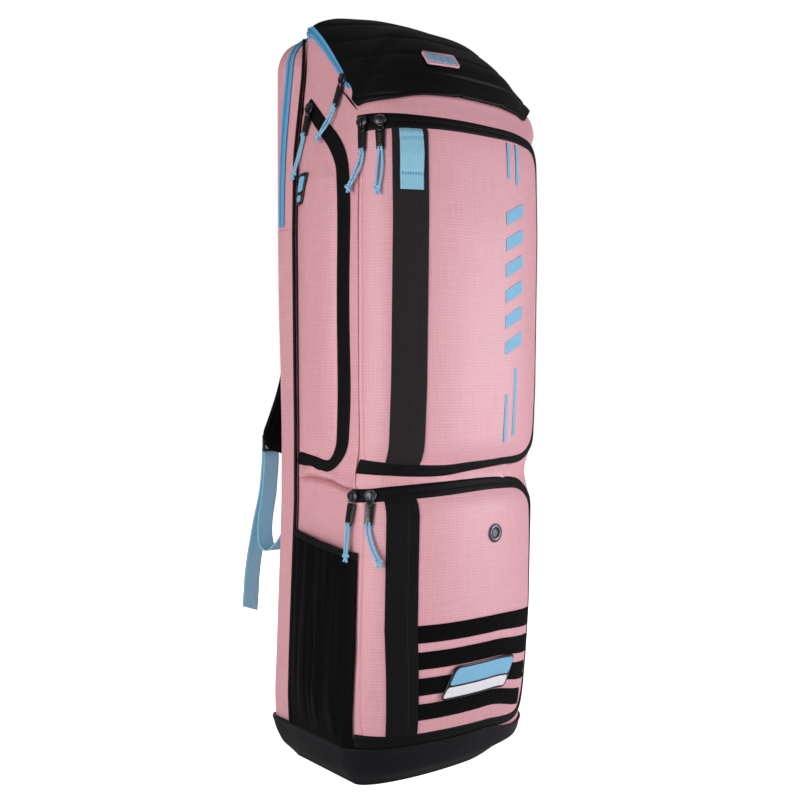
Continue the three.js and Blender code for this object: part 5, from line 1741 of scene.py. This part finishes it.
def make_buckle(label, side):
    """A ladder buckle: two rails and three round bars for the webbing."""
    shape = bmesh.new()
    half, high, bar, thick = BUCKLE["half"], BUCKLE["high"], BUCKLE["bar"], BUCKLE["thick"]
    for rail in (-1, 1):
        add_box(shape, (rail * half, 0, 0), (BUCKLE["rail"], thick, high))
    bevel(shape, shape.edges[:], 1.2, 3)
    for step in (-1, 0, 1):
        place = Matrix.Translation((0, 0, step * (high / 2 - bar))) @ Matrix.Rotation(math.pi / 2, 4, "Y")
        bmesh.ops.create_cone(
            shape, cap_ends=True, cap_tris=False, segments=16, radius1=bar, radius2=bar, depth=2 * half,
            matrix=place)
    middle = Matrix.Translation((side * BUCKLE["x"], BUCKLE["y"] + thick / 2, BUCKLE["z"]))
    bmesh.ops.transform(shape, matrix=middle, verts=shape.verts)
    name = f"strap_buckle_{label}"
    solid_piece(f"{name}_ladder", shape, "moulded_acetal", "black_plastic", name)


def make_straps():
    """Both shoulder straps: pad, ladder buckle, webbing and tail."""
    for label, side in (("left", 1), ("right", -1)):
        make_pad(label, side)
        make_buckle(label, side)
        make_strip(f"strap_webbing_{label}", WEBBING_ROUTE, side, 90)
        make_strip(f"strap_tail_{label}", TAIL_ROUTE, side, 70)


# Studio

def add_light(light):
    """A soft square light."""
    lamp = bpy.data.lights.new(light.name, "AREA")
    lamp.color = linear(light.colour)[:3]
    lamp.size = light.size
    lamp.energy = light.power
    holder = bpy.data.objects.new(light.name, lamp)
    holder.location = light.place
    holder.rotation_euler = (Vector(light.aim) - Vector(light.place)).to_track_quat("-Z", "Y").to_euler()
    bpy.context.scene.collection.objects.link(holder)


def make_camera():
    """The camera at the photograph's angle."""
    lens = bpy.data.cameras.new("camera")
    lens.sensor_width = 36
    lens.lens = CAMERA_LENS
    holder = bpy.data.objects.new("camera", lens)
    holder.location = CAMERA_PLACE
    level = math.cos(CAMERA_DIP)
    ahead = Vector((math.sin(CAMERA_TURN) * level, math.cos(CAMERA_TURN) * level, -math.sin(CAMERA_DIP)))
    holder.rotation_euler = ahead.to_track_quat("-Z", "Y").to_euler()
    bpy.context.scene.collection.objects.link(holder)
    bpy.context.scene.camera = holder


def glow_to_camera(tree, glow, socket):
    """Full brightness to the camera, and less of it as light on the bag."""
    seen = add_node(tree, "LightPath").outputs["Is Camera Ray"]
    bright = add_node(tree, "MapRange", {"Value": seen, "To Min": glow, "To Max": 1.0})
    tree.links.new(bright.outputs["Result"], socket)


def make_studio():
    """A pale floor, a white room and soft lights."""
    shape = bmesh.new()
    bmesh.ops.create_grid(shape, x_segments=8, y_segments=8, size=8.0)
    mesh = bpy.data.meshes.new("floor")
    shape.to_mesh(mesh)
    shape.free()
    paper = Look("matt_paper", Roughness=0.9, Specular_IOR_Level=0.1, Emission_Color=(1, 1, 1, 1))
    paper.shader.inputs["Base Color"].default_value = tuple(colours().floor)
    glow_to_camera(paper.tree, FLOOR_GLOW, paper.shader.inputs["Emission Strength"])
    add_piece("floor", mesh, paper.material)
    room = bpy.data.worlds.new("white_room")
    room.use_nodes = True
    back = room.node_tree.nodes["Background"]
    back.inputs["Color"].default_value = (1, 1, 1, 1)
    glow_to_camera(room.node_tree, ROOM_GLOW, back.inputs["Strength"])
    bpy.context.scene.world = room
    bpy.context.scene.view_settings.view_transform = "Standard"
    for light in LIGHTS:
        add_light(light)


# Operators, in the order that the bag is made

class Maker:
    """Runs the steps of one group in turn."""

    def execute(self, context):
        for step in self.steps:
            step()
        return {"FINISHED"}


class BAG_OT_studio(Maker, bpy.types.Operator):
    """Set up the camera, the floor and the lights"""
    bl_idname = "stickbag.studio"
    bl_label = "Studio"
    steps = (make_camera, make_studio)


class BAG_OT_pulls(Maker, bpy.types.Operator):
    """Make the zip pulls with their cords"""
    bl_idname = "stickbag.pulls"
    bl_label = "Zip pulls and cords"
    steps = (make_pulls,)


class BAG_OT_body(Maker, bpy.types.Operator):
    """Make the pink body and its piping"""
    bl_idname = "stickbag.body"
    bl_label = "Body"
    steps = (make_body, make_piping)


class BAG_OT_boot(Maker, bpy.types.Operator):
    """Make the coated foot"""
    bl_idname = "stickbag.boot"
    bl_label = "Foot"
    steps = (make_boot,)


class BAG_OT_lid(Maker, bpy.types.Operator):
    """Make the padded lid, its zip and its badge"""
    bl_idname = "stickbag.lid"
    bl_label = "Lid"
    steps = (make_lid, make_lid_zip, make_badge)


class BAG_OT_sticks(Maker, bpy.types.Operator):
    """Make the stick compartment and its zip"""
    bl_idname = "stickbag.sticks"
    bl_label = "Stick compartment"
    steps = (make_stick_compartment, make_stick_zip)


class BAG_OT_front(Maker, bpy.types.Operator):
    """Make the front pockets, their zips and their print"""
    bl_idname = "stickbag.front"
    bl_label = "Front pockets"
    steps = (make_doors, make_hinge_seam_and_shade, make_waist_crease_shadows, make_front_zips, make_print)


class BAG_OT_side(Maker, bpy.types.Operator):
    """Make the side pockets and the tag"""
    bl_idname = "stickbag.side"
    bl_label = "Side pockets"
    steps = (make_side_pocket, make_tag, make_mesh_pocket)


class BAG_OT_trim(Maker, bpy.types.Operator):
    """Make the webbing, loop, eyelet, loop tape and patch"""
    bl_idname = "stickbag.trim"
    bl_label = "Front trim"
    steps = (make_webbing, make_front_loop, make_eyelet, make_hook_strips, make_patch)


class BAG_OT_straps(Maker, bpy.types.Operator):
    """Make the shoulder straps"""
    bl_idname = "stickbag.straps"
    bl_label = "Shoulder straps"
    steps = (make_straps,)


OPERATORS = (
    BAG_OT_studio, BAG_OT_pulls, BAG_OT_body, BAG_OT_boot, BAG_OT_lid, BAG_OT_sticks, BAG_OT_front,
    BAG_OT_side, BAG_OT_trim, BAG_OT_straps,
)


class BAG_PT_panel(bpy.types.Panel):
    """Lists the pieces of the bag"""
    bl_idname = "BAG_PT_panel"
    bl_label = "Hockey Stick Bag"
    bl_space_type = "VIEW_3D"
    bl_region_type = "UI"
    bl_category = "Stick Bag"

    def draw(self, context):
        for operator in OPERATORS:
            self.layout.operator(operator.bl_idname)
        for group in (context.scene.bag_sizes, context.scene.bag_colours):
            for name in group.bl_rna.properties.keys():
                if name not in ("rna_type", "name"):
                    self.layout.prop(group, name)


CLASSES = (BagSizes, BagColours) + OPERATORS + (BAG_PT_panel,)


def register():
    for each in CLASSES:
        bpy.utils.register_class(each)
    bpy.types.Scene.bag_sizes = PointerProperty(type=BagSizes)
    bpy.types.Scene.bag_colours = PointerProperty(type=BagColours)


def unregister():
    del bpy.types.Scene.bag_colours
    del bpy.types.Scene.bag_sizes
    for each in reversed(CLASSES):
        bpy.utils.unregister_class(each)


def main():
    register()
    bpy.ops.stickbag.studio()
    bpy.ops.stickbag.pulls()
    bpy.ops.stickbag.body()
    bpy.ops.stickbag.boot()
    bpy.ops.stickbag.lid()
    bpy.ops.stickbag.sticks()
    bpy.ops.stickbag.front()
    bpy.ops.stickbag.side()
    bpy.ops.stickbag.trim()
    bpy.ops.stickbag.straps()


if __name__ == "__main__":
    main()
